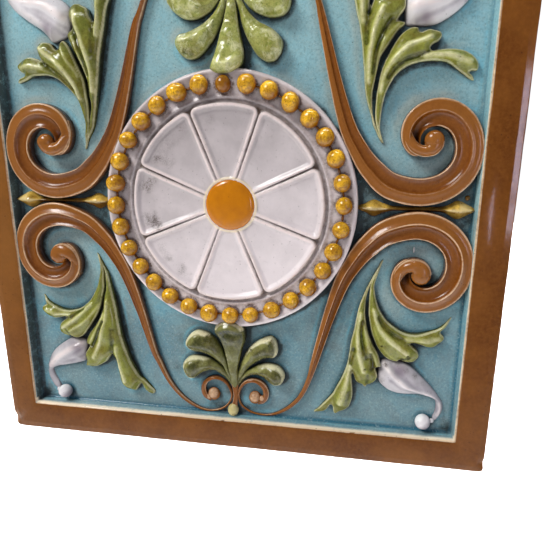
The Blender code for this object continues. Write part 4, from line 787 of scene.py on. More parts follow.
# Lobes of the lower palmette, then of the upper one as far as it was seen and mirrored beyond
PALMETTES = {
    "palmette_lower_middle": ([
        (-6.3, -50.2), (-5.7, -48.3), (-3.8, -46.7), (-0.6, -46.1), (2.2, -46.4), (4.2, -47.8), (5.3, -49.8),
        (5.6, -51.6), (5.6, -53.5), (5.2, -55.5), (4.2, -58.5), (3.3, -62.0), (2.6, -65.0), (2.0, -68.4),
        (2.0, -72.0), (1.9, -74.8), (0.8, -76.4), (-0.4, -75.0), (-0.8, -72.0), (-1.2, -69.0), (-1.8, -65.0),
        (-2.4, -61.0), (-3.1, -57.5), (-3.9, -54.8), (-4.7, -53.0), (-5.8, -51.8)],
        [(0, -48, 1.26), (0, -52, 1.14), (0, -58, 0.9), (0, -66, 0.68), (0.6, -75, 0.42)],
        [([(-4.6, -50.0), (-0.6, -48.2), (3.8, -49.8)], 0.35, 0.7),
         ([(-3.0, -51.4), (-0.4, -50.6), (2.6, -51.4)], -0.3, 1.0)]),
    "palmette_lower_left_upper": ([
        (-19.5, -57.4), (-18.5, -55.0), (-16.6, -52.9), (-14.5, -52.0), (-12.0, -52.3), (-9.5, -53.3),
        (-7.0, -55.3), (-5.0, -58.0), (-3.6, -61.0), (-2.7, -64.0), (-1.9, -67.0), (-1.2, -70.0),
        (0.2, -75.0), (-1.8, -73.0), (-2.8, -70.0), (-4.0, -67.3), (-6.0, -65.0), (-8.0, -63.2),
        (-10.0, -62.0), (-12.5, -61.2), (-15.0, -60.8), (-17.5, -60.1), (-19.0, -58.9)],
        [(-17, -56, 1.0), (-12, -57, 0.9), (-7, -61, 0.75), (-3, -68, 0.5), (-1, -73, 0.3)],
        [([(-18.4, -56.8), (-16.8, -54.6), (-14.0, -53.4), (-10.8, -54.0)], 0.35, 0.8),
         ([(-14.6, -57.0), (-10.5, -57.2), (-7.0, -60.2)], 0.35, 1.5)]),
    "palmette_lower_left_lower": ([
        (-21.0, -67.5), (-20.2, -65.5), (-18.5, -64.0), (-16.0, -63.3), (-13.0, -63.3), (-10.0, -64.0),
        (-7.5, -65.4), (-5.5, -67.0), (-4.0, -68.6), (-2.4, -70.6), (-0.4, -73.6), (0.5, -76.2),
        (-1.4, -74.9), (-3.4, -72.4), (-5.2, -70.5), (-7.5, -69.0), (-10.0, -69.0), (-12.5, -69.9),
        (-14.5, -71.3), (-16.0, -72.6), (-18.0, -73.0), (-19.5, -72.2), (-20.7, -70.0)],
        [(-18, -68, 1.0), (-12, -66, 0.8), (-7, -67, 0.62), (-1, -73.4, 0.3)],
        [([(-19.4, -67.8), (-18.0, -65.6), (-14.6, -64.8)], 0.3, 0.9),
         ([(-15.6, -67.6), (-11.0, -66.4), (-7.4, -67.4)], 0.3, 1.3)]),
    "palmette_lower_right_upper": ([
        (16.0, -52.6), (17.5, -53.5), (18.5, -55.5), (18.9, -58.0), (18.4, -60.1), (17.2, -61.2),
        (14.5, -61.5), (12.0, -62.5), (9.5, -64.2), (7.0, -66.4), (5.0, -69.2), (3.2, -72.4), (1.0, -75.2),
        (1.5, -72.2), (2.2, -69.6), (3.2, -66.5), (4.4, -63.4), (6.0, -60.0), (8.0, -57.3), (10.0, -55.5),
        (12.0, -54.2), (14.0, -53.2)],
        [(16, -56, 1.0), (11, -59, 0.88), (7, -63, 0.72), (3, -69, 0.5), (1, -73, 0.3)],
        [([(11.0, -55.7), (14.8, -54.2), (17.0, -55.4), (18.0, -57.6)], 0.35, 0.8),
         ([(13.4, -57.8), (9.6, -60.0), (6.6, -64.0)], 0.35, 1.4),
         ([(8.4, -58.4), (8.5, -58.5)], -1.2, 0.4)]),
    "palmette_lower_right_lower": ([
        (14.0, -64.6), (17.0, -64.7), (19.5, -65.6), (21.2, -67.3), (21.8, -69.2), (21.3, -71.2),
        (20.2, -72.8), (18.0, -73.3), (16.0, -72.4), (14.2, -71.0), (12.3, -69.8), (10.0, -69.5),
        (7.5, -70.0), (5.6, -71.2), (4.2, -72.9), (2.6, -75.2), (1.0, -76.4), (2.0, -73.6), (4.4, -70.6),
        (6.5, -68.3), (9.0, -66.5), (11.5, -65.3)],
        [(18.5, -69, 1.0), (13, -67, 0.82), (8, -68.5, 0.62), (1.5, -73.8, 0.3)],
        [([(13.0, -65.8), (17.4, -66.0), (20.0, -68.2), (20.4, -70.4)], 0.3, 0.9),
         ([(16.0, -68.8), (11.5, -67.6), (7.6, -68.8)], 0.3, 1.3)]),
    "palmette_upper_middle": ([
        (0.5, 46.3), (1.9, 46.6), (4.0, 47.6), (5.7, 49.3), (6.2, 51.5), (6.1, 54.0), (5.5, 57.0),
        (4.8, 60.0), (4.2, 63.0), (3.8, 66.0), (3.2, 69.5), (2.2, 73.6), (1.2, 74.8), (0.4, 73.6),
        (0.4, 69.5), (0.0, 67.0), (-0.7, 64.0), (-1.4, 61.0), (-2.2, 58.0), (-3.0, 55.0), (-4.0, 52.0),
        (-5.0, 49.4), (-5.3, 47.9), (-3.7, 46.7), (-1.2, 46.2)],
        [(0.5, 48, 1.26), (0.6, 52, 1.15), (1, 58, 0.95), (1.5, 66, 0.65), (1.2, 74, 0.35)],
        [([(-3.2, 50.0), (0.6, 49.0), (4.2, 51.0)], 0.5, 1.8)]),
    "palmette_upper_left_lower": ([
        (-18.9, 57.0), (-18.4, 58.5), (-17.0, 59.8), (-14.5, 60.3), (-12.0, 61.2), (-9.0, 62.7),
        (-6.5, 64.5), (-4.6, 66.5), (-3.0, 69.0), (-1.4, 72.0), (0.6, 74.4), (0.4, 72.4), (-0.2, 69.5),
        (-1.0, 66.0), (-2.0, 63.0), (-3.2, 60.6), (-5.0, 57.8), (-7.0, 55.4), (-9.0, 53.4), (-11.0, 52.1),
        (-13.5, 51.6), (-15.5, 52.2), (-17.2, 53.6), (-18.4, 55.4)],
        [(-14, 56, 1.0), (-9, 58.5, 0.9), (-5, 62, 0.75), (-1.5, 68.5, 0.5), (0.4, 73.6, 0.3)],
        [([(-14.6, 53.6), (-12.4, 53.4)], -1.0, 1.1), ([(-15.6, 57.6), (-9.8, 58.8)], 0.4, 1.6)]),
    "palmette_upper_left_upper": ([
        (-21.2, 70.4), (-20.5, 69.2), (-19.0, 67.3), (-16.5, 65.5), (-14.0, 64.7), (-11.0, 64.7),
        (-8.0, 65.7), (-5.5, 67.4), (-3.6, 69.6), (-1.6, 72.4), (0.2, 74.6), (-1.8, 74.0), (-3.6, 72.2),
        (-6.0, 71.0), (-9.0, 70.8), (-12.0, 71.6), (-14.6, 73.0), (-17.0, 74.2), (-19.4, 73.8),
        (-21.0, 72.4)],
        [(-17, 69.5, 1.0), (-11, 67.8, 0.85), (-6, 69.4, 0.62), (-0.6, 74.0, 0.3)],
        [([(-16.0, 68.0), (-11.0, 67.4)], 0.4, 1.6)]),
    "palmette_upper_right_lower": ([
        (3.8, 69.0), (4.8, 65.5), (5.8, 62.0), (7.2, 58.6), (9.0, 55.5), (11.0, 52.6), (13.2, 50.9),
        (15.2, 50.3), (17.5, 50.9), (19.2, 52.8), (19.9, 55.0), (19.8, 57.0), (18.6, 58.8), (16.5, 60.6),
        (14.0, 62.0), (11.5, 63.2), (9.5, 64.8), (7.5, 67.0), (5.8, 69.7), (4.0, 72.6), (2.0, 74.6),
        (2.6, 72.4)],
        [(15.5, 55, 1.0), (11.5, 58.5, 0.9), (8, 63, 0.72), (4.6, 69, 0.5), (2.4, 73.8, 0.3)],
        [([(15.0, 60.0), (18.2, 57.6), (18.8, 54.6)], 0.5, 0.9), ([(12.5, 56.8), (9.0, 61.5)], 0.3, 1.4)]),
    "palmette_upper_right_upper": ([
        (22.6, 68.6), (22.0, 66.7), (20.5, 65.3), (18.0, 64.6), (15.0, 64.7), (12.0, 65.7), (9.5, 66.9),
        (7.6, 68.6), (5.2, 71.4), (2.2, 74.6), (4.6, 73.6), (6.4, 72.0), (9.0, 71.2), (12.0, 71.4),
        (14.6, 72.4), (17.0, 73.6), (19.6, 73.6), (21.6, 72.2), (22.6, 70.4)],
        [(18.5, 69, 1.0), (13, 68.2, 0.85), (8, 70, 0.62), (2.6, 74.0, 0.3)],
        [([(20.6, 70.6), (21.0, 67.6), (18.0, 66.0)], 0.4, 1.0)]),
}


def make_palmettes():
    for name, (outline, levels, ridges) in PALMETTES.items():
        upper = name.startswith("palmette_upper")
        edge = 0.8 if name.endswith("middle") else 0.5 if upper else 0.56
        lobe = pressed(name, outline, PALMETTE_RISE, edge, dome=3.4 if upper else 3.8,
                       rim=0.45 if upper else 1.0, levels=levels, ridges=ridges, brow=0.6)
        if not upper:
            shade_lower_lobe(lobe, outline, name.endswith("middle"))


def shade_lower_lobe(lobe, outline, middle):
    """Tone and worn rims of the lower palmette, painted as light and shade: darker towards the lobes' heads
    by the rosette's ring, lighter where they face the light, the cream rims mostly on the heads' lit sides.
    """
    x, z, h = places(lobe)
    head = step_up(np.hypot(x - 0.6, z + 73), 11, 19)
    deep = away_from(x, z, smooth_rows(outline, 5, closed=True), closed=True)
    rim = hump(np.maximum(deep - 0.45, 0), 0, 0.55)
    lit = step_up(z, -50.5, -48.5) if middle else unit((read_slope(lobe) - 0.1) / 0.4)
    tone = 0.36 - 0.16 * head + 0.34 * lit * hump(deep, 1.6, 1.4)
    tone = tone - (0.2 * spot(x, z, -0.6, -51.6, 2.6) if middle else 0)
    give_mask(lobe, "tone", unit(tone))
    faced = np.maximum(step_up(lit, 0.1, 0.7), 0.0 if middle else 0.7 * step_up(np.abs(x), 15.5, 18.5))
    give_mask(lobe, "worn", unit(rim * (0.2 + 0.9 * head * faced)))


# Small parts: stems between the curls, drop beads at the border, side spikes

# Rows of the curls' stem: place, half width, share of the rise, depth of the channel
CURL_STEM = [(0.8, -75.2, 1.5, 0.3, 1), (0.9, -77.4, 1.1, 0.3, 1), (1.0, -80.4, 0.9, 0.3, 1),
             (0.7, -83.4, 1.0, 0.32, 1), (0.2, -85.8, 1.4, 0.3, 1)]
SPIKE_RISE = 3.9
# Rows of the spike: out from the middle, half width, share of the rise
SPIKE = [(90.6, 0.35, 0.35), (88.0, 1.4, 0.7), (83.6, 3.3, 1.0), (79.8, 1.5, 0.72), (76.0, 0.9, 0.6),
         (68.0, 0.8, 0.56), (61.0, 0.95, 0.6), (57.2, 1.9, 0.8), (54.0, 3.1, 0.95), (50.6, 1.5, 0.7),
         (47.4, 0.5, 0.5)]
# Across the spike and back below: share across, share of the height
SPIKE_SECTION = [(-1.0, ROOT), (-1.0, 0.12), (-0.8, 0.38), (-0.5, 0.66), (-0.2, 0.9), (0.0, 1.0), (0.2, 0.9),
                 (0.5, 0.66), (0.8, 0.38), (1.0, 0.12), (1.0, ROOT), (-1.0, ROOT), (-1.0, ROOT)]


def make_small_parts():
    for end, up in (("lower", 1), ("upper", -1)):
        make_band("curl_stem_" + end, smooth_rows(CURL_STEM, 6), 1, up)
    for end, up in (("lower", 1), ("upper", -1)):
        make_ball("drop_bead_" + end, -0.1, up * -86.8, 2.35, 1.3, flat=1.0, squash=1.2)
    make_ball("casting_nib", 69.5, -15.0, 0.3, 0.9, flat=1.6, squash=4.2, segments=12)
    make_ball("drip_right", 86.6, 4.4, 0.9, 0.8, flat=0.8, tone=0.0, segments=16)
    make_spike("spike_right", 1)
    make_spike("spike_left", -1)


def make_spike(name, side):
    """A ridged spike, swept from the border to the rosette."""
    rows = smooth_rows(SPIKE, 7)
    bm, column, row, _ = lay_along(rows, len(SPIKE_SECTION) - 1)
    along, half, rise = rows[row].T
    share, lift = np.array(SPIKE_SECTION)[column].T
    low, lift = np.isnan(lift), np.nan_to_num(lift)
    x, z = side * along, share * half
    height = np.where(low, -SUNK, lift * SPIKE_RISE * rise) + ~low * waver(x, z, 3, 7.7) * 0.12
    settle(bm, x, z, height)
    stout = step_up(half, 1.0, 1.7)
    worn = hump(share, 0, 0.2) + 0.5 * (share > 0.1) * (np.abs(np.abs(x) - 86.2) < 2.4)
    # painted light: the upper facet light, the lower facet dark as shade, darkest nearer the rosette
    tone = np.where(share > 0, 0.35 + 0.6 * stout, np.where(np.abs(x) < 70, 0.0, 0.5 * stout))
    return keep(bm, name, {"worn": worn * ~low * stout, "tone": tone}, closed=True)


# The rosette

RING_RADIUS = 48.3
# Degrees of the grooves between the petals, counted from the right, and bead places as read off the tile
GROOVES = [-66.7, -19.9, 24.0, 69.5, 112.2, 157.1, 201.5, 248.2]
BEADS = [(-0.7, 42.8), (8.0, 42.6), (16.1, 40.4), (23.6, 36.4), (30.5, 31.0), (36.0, 24.7), (40.0, 17.4),
         (42.6, 9.0), (43.5, 1.0), (42.7, -7.8), (40.3, -16.0), (36.5, -23.3), (31.1, -30.0), (24.7, -35.5),
         (17.2, -39.8), (8.8, -42.3), (0.6, -43.0), (-8.0, -42.6), (-16.2, -40.2), (-23.8, -36.3),
         (-30.3, -31.0), (-35.5, -24.8), (-39.8, -17.5), (-42.7, -9.2), (-43.9, -0.9), (-43.5, 7.5),
         (-41.2, 15.6), (-37.3, 23.4), (-31.8, 30.0), (-25.3, 35.6), (-17.7, 40.0), (-9.3, 42.5)]
RINGS, TURNS = 132, 640
TRACK_RADIUS = 47.6
PETAL_RADIUS = 36.9
PETAL_CORNER = 2.7
DISH = 4.5
BUTTON_AT = (1.1, 0.2)
# Half of the button's section: radius, height
BUTTON_PROFILE = [(0.0, 7.25), (2.4, 7.2), (4.8, 7.0), (6.8, 6.65), (8.2, 6.2), (9.0, 5.75), (9.4, 5.3),
                  (9.5, 4.8), (9.5, 3.0)]


def into_petal(x, z, r):
    """How far inside its petal each place is, with the petals' corners rounded."""
    centred = np.degrees(np.arctan2(z, x))
    out = PETAL_RADIUS - r
    best = np.full(len(r), -9.0)
    for start, end in zip(GROOVES, GROOVES[1:] + [GROOVES[0] + 360]):
        half = (end - start) / 2
        turn = np.abs((centred - (start + half) + 180) % 360 - 180)
        aside = np.where(turn > half + 4, -9, r * np.sin(np.radians(half - turn)))
        rounded = PETAL_CORNER - np.hypot(PETAL_CORNER - aside, PETAL_CORNER - out)
        cornered = (aside < PETAL_CORNER) & (out < PETAL_CORNER)
        best = np.maximum(best, np.where(cornered, rounded, np.minimum(aside, out)))
    return best


def make_rosette():
    """Bead track, petals and their grooves, worked as one round sheet and closed below."""
    bm, u, v = sheet(RINGS + 4, TURNS)
    column = np.rint(u * (RINGS + 4))
    angle = v * math.tau
    r = np.select([column <= RINGS, column == RINGS + 1, column == RINGS + 2],
                  [column / RINGS * TRACK_RADIUS, 48.1, RING_RADIUS], RING_RADIUS + 0.15)
    x, z = r * np.cos(angle), r * np.sin(angle)
    # ring: rounded outer edge, sunk track, inner lip
    ring = 4.6 + 0.55 * hump(r, 47.2, 1.5) + 0.6 * hump(r, 38.5, 0.8)
    base = DISH + (ring - DISH) * step_up(r, 37.0, 37.9)
    # petals: raised rims round sunk floors, cut apart by the grooves
    deep = into_petal(x, z, r)
    rim_height = 6.6 - 1.5 * (1 - unit(r / PETAL_RADIUS))
    rim_width = 1.25 + 1.1 * step_up(4 - (PETAL_RADIUS - r), 0.5, 3.2)
    floor = 1.15 * step_up(deep, rim_width * 0.55, rim_width + 1.5) * (0.55 + 0.45 * step_up(r, 12, 26))
    cut = (0.35 + 0.65 * step_up(r, 12, 27)) * hump(deep, 0, 0.34)
    petal = rim_height - 0.75 * roll_off(unit(1 - deep / 0.7)) - floor - 1.15 * cut
    height = np.where(deep > 0, petal + 0.12 * waver(x, z, 5, 2.9), base)
    # seat of the button
    hub = np.hypot(x - BUTTON_AT[0], z - BUTTON_AT[1])
    collar = 5.3 + 0.3 * hump(hub, 9.9, 0.5)
    height = np.where(hub < 10.7, np.maximum(height, collar * step_up(10.7 - hub, 0, 0.6)), height)
    height = height + 0.06 * waver(x, z, 2.2, 8.1) - 0.8 * roll_off(unit((r - 47.0) / 1.3))
    height = np.where(column == RINGS + 3, 0.9, np.where(column == RINGS + 4, -SUNK, height))
    settle(bm, x, z, height)
    worn = np.maximum(hump(deep, 0.95, 0.7) * (deep > 0), 0.45 * hump(r, 47.5, 0.9))
    # painted light: the petals lighter towards the bottom right and darker towards the upper left; the ring
    # lighter in its upper half
    tone = 0.42 + (0.25 * x - z) / 80 + 0.3 * step_up(r, 37, 39) * step_up(z, -10, 20)
    groove = hump(np.maximum(deep - 0.02, 0), 0, 0.3) * (r < 37.9) * (hub > 10.8)
    groove = groove * (0.45 + 0.55 * step_up(r, 13, 28)) * (1 - 0.45 * step_up(r, 36.3, 37.0))
    beads = np.array(BEADS)
    gap = np.hypot(x[:, None] - beads[:, 0], z[:, None] - beads[:, 1]).min(1)
    track = step_up(r, 37.6, 38.6) * (1 - step_up(r, 46.6, 47.3))
    track = track * (0.2 + 0.3 * hump(r, 38.8, 1.2) + 1.5 * hump(gap, 3.3, 0.6))
    return keep(bm, "rosette_dish_and_petals", {
        "worn": np.where(column > RINGS + 2, 0, worn), "tone": unit(tone), "groove": groove,
        "collar": hump(hub, 9.95, 0.42), "track": track}, closed=True)


def make_beads():
    """The string of beads on its track, with small nibs between them."""
    rng = np.random.default_rng(11)
    bm = bmesh.new()
    tone = bm.verts.layers.float.new("tone")
    for index, (at_x, at_z) in enumerate(BEADS):
        small = index == 0
        radius = 2.9 if small else 3.4 + 0.10 * rng.standard_normal()
        middle = 5.0 if small else 6.1
        stretch = 1 + 0.03 * rng.standard_normal(2)
        for vert in bmesh.ops.create_uvsphere(bm, u_segments=24, v_segments=14, radius=1.0)["verts"]:
            x, z, h = vert.co
            size = radius * (1 + 0.035 * noise.noise(vert.co * 1.7 + Vector((index * 3.1, 0, 0))))
            # painted light: each bead lighter on top and towards the upper left, darker below; the small
            # bead under the palmette tip darker as painted shade
            vert[tone] = (0.40 + 0.42 * h + 0.30 * z - 0.22 * x) * (0.45 if small else 1)
            vert.co = ((at_x + x * size * stretch[0]) * MM, -(GROUND + middle + h * size * 0.98) * MM,
                       (at_z + z * size * stretch[1]) * MM)
    # no nibs on either side of the small bead
    for here, there in list(zip(BEADS, BEADS[1:]))[1:]:
        here, there = Vector(here), Vector(there)
        run = (there - here).normalized()
        middle = (here + there) / 2
        for vert in bmesh.ops.create_uvsphere(bm, u_segments=10, v_segments=6, radius=1.0)["verts"]:
            long, wide, tall = vert.co.x * 1.3, vert.co.y * 0.5, vert.co.z * 0.6
            vert.co = ((middle.x + run.x * long - run.y * wide) * MM, -(GROUND + 5.1 + tall) * MM,
                       (middle.y + run.y * long + run.x * wide) * MM)
    return keep(bm, "bead_string")


def make_button():
    """The domed boss in the middle of the rosette, turned on its axis."""
    bm = bmesh.new()
    verts = [bm.verts.new((radius * MM, -(GROUND + height) * MM, 0)) for radius, height in BUTTON_PROFILE]
    edges = [bm.edges.new(pair) for pair in zip(verts, verts[1:])]
    bmesh.ops.spin(bm, geom=verts + edges, cent=(0, 0, 0), axis=(0, 1, 0), angle=math.tau, steps=96,
                   use_merge=True)
    bmesh.ops.translate(bm, verts=bm.verts, vec=(BUTTON_AT[0] * MM, 0, BUTTON_AT[1] * MM))
    return keep(bm, "button", closed=True)


# Masks that follow the whole relief

def relief_map(pieces, with_border=True):
    """The highest clay over every spot of the tile."""
    size = int(2 * MAP_HALF / MAP_CELL) + 1
    field = np.full((size, size), -9.0)
    for piece in pieces:
        if piece.name != "tile_body":
            x, z, h = places(piece)
            i, j = (np.clip(np.rint((a + MAP_HALF) / MAP_CELL).astype(int), 0, size - 1) for a in (x, z))
            np.maximum.at(field, (j, i), h)
    # gaps between the points closed
    for pick in (np.max, np.min):
        field = pick([np.roll(field, (a, b), (0, 1)) for a in (-1, 0, 1) for b in (-1, 0, 1)], axis=0)
    field = np.maximum(field, 0.0)
    if with_border:
        steps = np.abs(np.linspace(-MAP_HALF, MAP_HALF, size))
        square = np.maximum(*np.meshgrid(steps, steps))
        field = np.maximum(field, np.interp(square, *np.array(BORDER_PROFILE[:FACE_ROWS]).T))
    return field


def blurred(field, reach):
    """The map softened over that many millimetres."""
    n = int(math.ceil(3 * reach / MAP_CELL))
    weights = np.exp(-0.5 * (np.arange(-n, n + 1) * MAP_CELL / reach) ** 2)
    weights /= weights.sum()
    field = np.pad(field, n, mode="edge")
    for axis in (1, 0):
        field = np.apply_along_axis(lambda row: np.convolve(row, weights, "valid"), axis, field)
    return field


def read_map(field, x, z):
    """Values of a map at the given places."""
    a, b = (np.clip((place + MAP_HALF) / MAP_CELL, 0, len(field) - 1.001) for place in (x, z))
    i, j = a.astype(int), b.astype(int)
    s, t = a - i, b - j
    return ((field[j, i] * (1 - s) + field[j, i + 1] * s) * (1 - t)
            + (field[j + 1, i] * (1 - s) + field[j + 1, i + 1] * s) * t)


def mask_everything(pieces):
    """Masks on every piece: crest, painted shade in hollows, glaze pooled at the forms' feet with painted
    shade, and dirt with painted shadow.
    """
    field, raised = relief_map(pieces), relief_map(pieces, False)
    fine, near = blurred(field, 0.7), blurred(field, 1.4)
    raised_near, broad = blurred(raised, 1.4), blurred(raised, 3.2)
    for piece in pieces:
        x, z, h = places(piece)
        around, low = read_map(near, x, z), 1 - step_up(h, 0.5, 2.0)
        # painted shadow: lee is the relief towards the light at the upper left, whose shade falls to the
        # lower right; under is painted shade beside tall relief
        lee, under = read_map(raised_near, x - 1.1, z + 1.0) - h, read_map(broad, x, z) - h
        masks = {"crest": unit((h - read_map(fine, x, z)) / 0.7), "hollow": unit((around - h) / 2.2),
                 "pool": low * unit(around / 1.6),
                 "grime": unit((lee - 0.9) / 1.9) * 0.85 + unit((under - 1.2) / 2.0) * 0.6}
        if piece.name == "tile_body":
            masks.update(soil_ground(masks["pool"], masks["grime"], raised_near, x, z, h))
        for mask, values in masks.items():
            give_mask(piece, mask, unit(values) if mask == "grime" else values)


def soil_ground(pool, grime, raised, x, z, h):
    """The body's own masks: dirt and painted shade under the forms, less of both on their lit sides and
    towards the top, as painted light.
    """
    low, square = 1 - step_up(h, 0.5, 2.0), np.maximum(np.abs(x), np.abs(z))
    # painted shade on the ground beside tall relief
    hollow = low * unit((read_map(raised, x, z) - 3.2) / 1.5)
    grime = np.where(square > 90.5, 0.0, grime)
    for at_x, at_z, reach, amount in DIRT_AND_SHADE:
        for side, up in QUARTERS:
            grime = grime + amount * low * spot(x, z, side * at_x, up * at_z, reach)
    # less dirt, painted shade and pooled glaze on the open ground inside the volutes, and a pale film there
    inside = sum(spot(x, z, side * 71.5, up * 23.0, 12.0) for side, up in QUARTERS)
    grime = grime * (1 - 0.6 * unit(inside))
    pool = pool * (1 - 0.45 * unit(inside))
    # painted light: on the sides of the forms that face the light at the upper left, and towards the top,
    # less dirt, shade and pooled glaze and more pale film
    lit = read_map(raised, x + 1.6, z - 1.6) - read_map(raised, x - 1.6, z + 1.6)
    lit = unit(lit / 1.5) * (0.35 + 0.65 * step_up(z, -10, 25))
    high = step_up(z, 5, 40)
    grime = grime * (1 - 0.8 * lit) - 0.3 * high * low * (square < 85)
    # painted shade: the left inner wall, turned away from the light, and the top wall darkened
    wall = (square > 87.0) & (square < 89.8)
    grime = grime + 0.9 * wall * (x < -86) * step_up(x, -87.0, -88.6) + 0.5 * wall * (z > 86)
    return {"crest": hump(square, 101.0, 0.4) * (h > 3), "hollow": hollow * (1 - 0.7 * lit), "grime": grime,
            "pool": pool * (1 - 0.7 * lit) * (1 - 0.3 * high),
            "film": unit(inside + 0.6 * spot(x, z, 61, -36, 6) + 0.9 * lit * high)}


def rub_arris_and_paint_lit_wall(body):
    """The border's inner arris, worn to cream, and along the bottom its upward-facing wall below painted
    cream as well: painted light.
    """
    x, z, h = places(body)
    square = np.maximum(np.abs(x), np.abs(z))
    rim = hump(square, 90.1, np.where(x < -88, 0.24, 0.3)) * step_up(h, 3.6, 4.5)
    # painted light: the lit, upward-facing wall along the bottom
    below = (z < -88) * (square < 90.4) * (np.abs(x) < 90) * step_up(h, 2.8, 4.0)
    give_mask(body, "rim", np.maximum(rim, below))


# Stains on the petals: across, up, reach, amount
PETAL_STAINS = [
    (-31.5, 6.5, 2.6, 1.1), (-29, 8.5, 2.0, 0.9), (-30.5, -6.0, 3.0, 1.3), (-27, -8.5, 2.4, 0.8),
    (-26.5, 17, 3.0, 0.7), (-22, 23.5, 3.2, 0.6), (-17, 27, 2.6, 0.6), (-27, -16, 2.6, 0.5),
    (-24, -21, 2.4, 0.5), (-19, -25.5, 2.4, 0.7), (-22, 16, 2.6, 0.5), (-6, 31, 2.2, 0.6),
    (9, 33.5, 1.4, 0.7), (-8, -14, 2.0, 0.3), (4, 16.5, 0.7, 1.0)]


def stain_rosette(rosette):
    """Little dirt and painted shade on the ring, more between the petals, and the stains."""
    x, z, h = places(rosette)
    ringed = step_up(np.hypot(x, z), 37.8, 38.6)
    weaken(rosette, "hollow", 0.65 - 0.45 * ringed)
    weaken(rosette, "grime", 0.75 - 0.5 * ringed)
    stain = sum(amount * spot(x, z, at_x, at_z, reach) for at_x, at_z, reach, amount in PETAL_STAINS)
    give_mask(rosette, "stain", np.clip(stain, 0, 1.3))


# Glazes

BUMP_DEPTH = 0.6 * MM
GLASS_IOR = 1.5


def tint(red, green, blue):
    """A colour as seen, made linear."""
    seen = [c / 255 for c in (red, green, blue)]
    return (*(((c + 0.055) / 1.055) ** 2.4 if c > 0.04 else c / 12.92 for c in seen), 1)


class Recipe:
    """Places and joins the nodes of one glaze or one effect."""

    def __init__(self, tree):
        self.tree = tree

    def node(self, kind, **settings):
        made = self.tree.nodes.new(kind)
        inputs = settings.pop("inputs", {})
        for key, value in settings.items():
            setattr(made, key, value)
        for key, value in inputs.items():
            self.feed(made.inputs[key], value)
        return made

    def feed(self, socket, value):
        if isinstance(value, bpy.types.NodeSocket):
            self.tree.links.new(value, socket)
        else:
            socket.default_value = value

    def math(self, operation, a, b):
        return self.node("ShaderNodeMath", operation=operation, inputs={0: a, 1: b}).outputs[0]

    def plus(self, a, b):
        return self.math("ADD", a, b)

    def minus(self, a, b):
        return self.math("SUBTRACT", a, b)

    def times(self, a, b):
        return self.math("MULTIPLY", a, b)

    def ramp(self, value, low, high, to_low=0.0, to_high=1.0):
        return self.node("ShaderNodeMapRange", inputs={
            "Value": value, "From Min": low, "From Max": high,
            "To Min": to_low, "To Max": to_high}).outputs[0]

    def mix(self, share, a, b):
        return self.node("ShaderNodeMix", data_type="RGBA", inputs={"Factor": share, 6: a, 7: b}).outputs[2]

    def mask(self, name):
        return self.node("ShaderNodeAttribute", attribute_name=name).outputs["Fac"]

    def place(self):
        return self.node("ShaderNodeTexCoord").outputs["Object"]

    def along(self, axis):
        return self.node("ShaderNodeSeparateXYZ", inputs={0: self.place()}).outputs[axis]

    def noise(self, scale, detail=3.0, rough=0.55, warp=0.0):
        return self.node("ShaderNodeTexNoise", inputs={
            "Vector": self.place(), "Scale": scale, "Detail": detail, "Roughness": rough,
            "Distortion": warp}).outputs["Fac"]

    def dots(self, scale, edge, middle, share):
        """Round dots in that share of the cells."""
        cells = self.node("ShaderNodeTexVoronoi", inputs={"Vector": self.place(), "Scale": scale})
        pick = self.node("ShaderNodeSeparateColor", inputs={0: cells.outputs["Color"]}).outputs[0]
        return self.times(self.ramp(cells.outputs["Distance"], edge, middle),
                          self.math("LESS_THAN", pick, share))


def effect(name, output, **inputs):
    """An empty effect group with named values in and one out."""
    group = bpy.data.node_groups.new(name, "ShaderNodeTree")
    for label, default in inputs.items():
        socket = group.interface.new_socket(label, in_out="INPUT", socket_type="NodeSocketFloat")
        socket.default_value = default
    group.interface.new_socket(output, in_out="OUTPUT", socket_type="NodeSocketFloat")
    given = group.nodes.new("NodeGroupInput").outputs
    return group, Recipe(group), given, group.nodes.new("NodeGroupOutput").inputs[output]


def make_effects():
    """Effects that every glaze shares."""
    effects = {}
    # worn: wear on edges and ridges, and on some pieces a painted highlight
    effects["worn"], r, given, out = effect("worn_ridges", "Mask", Worn=0.0, Breakup=0.4)
    uneven = r.minus(r.plus(r.noise(900.0, 3.0, 0.6), r.noise(160.0, 2.0, 0.5)), 1.0)
    spread = r.times(r.times(uneven, given["Breakup"]), 3.0)
    r.feed(out, r.ramp(r.times(given["Worn"], r.plus(1.0, spread)), 0.2, 0.9))

    # grime: dirt and painted shadow, broken up
    effects["grime"], r, given, out = effect("grime", "Mask", Grime=0.0, Amount=1.0)
    uneven = r.plus(r.times(r.minus(r.noise(420.0, 4.0, 0.65), 0.5), 2.2),
                    r.times(r.minus(r.noise(2600.0, 2.0, 0.6), 0.5), 0.9))
    wanted = r.times(given["Grime"], r.plus(1.0, uneven))
    r.feed(out, r.times(r.ramp(wanted, 0.06, 0.9), given["Amount"]))

    effects["specks"], r, given, out = effect("specks", "Mask", Size=900.0, Share=0.1)
    r.feed(out, r.dots(given["Size"], 0.30, 0.12, given["Share"]))

    effects["surface"], r, given, out = effect("glaze_surface", "Height", Ripple=1.0, Pits=1.0)
    waves = r.plus(r.noise(130.0, 2.0, 0.5), r.times(r.noise(1100.0, 3.0, 0.6), 0.12))
    pits = r.times(r.times(r.dots(420.0, 0.22, 0.05, 0.06), given["Pits"]), 0.6)
    r.feed(out, r.minus(r.times(waves, given["Ripple"]), pits))
    return effects


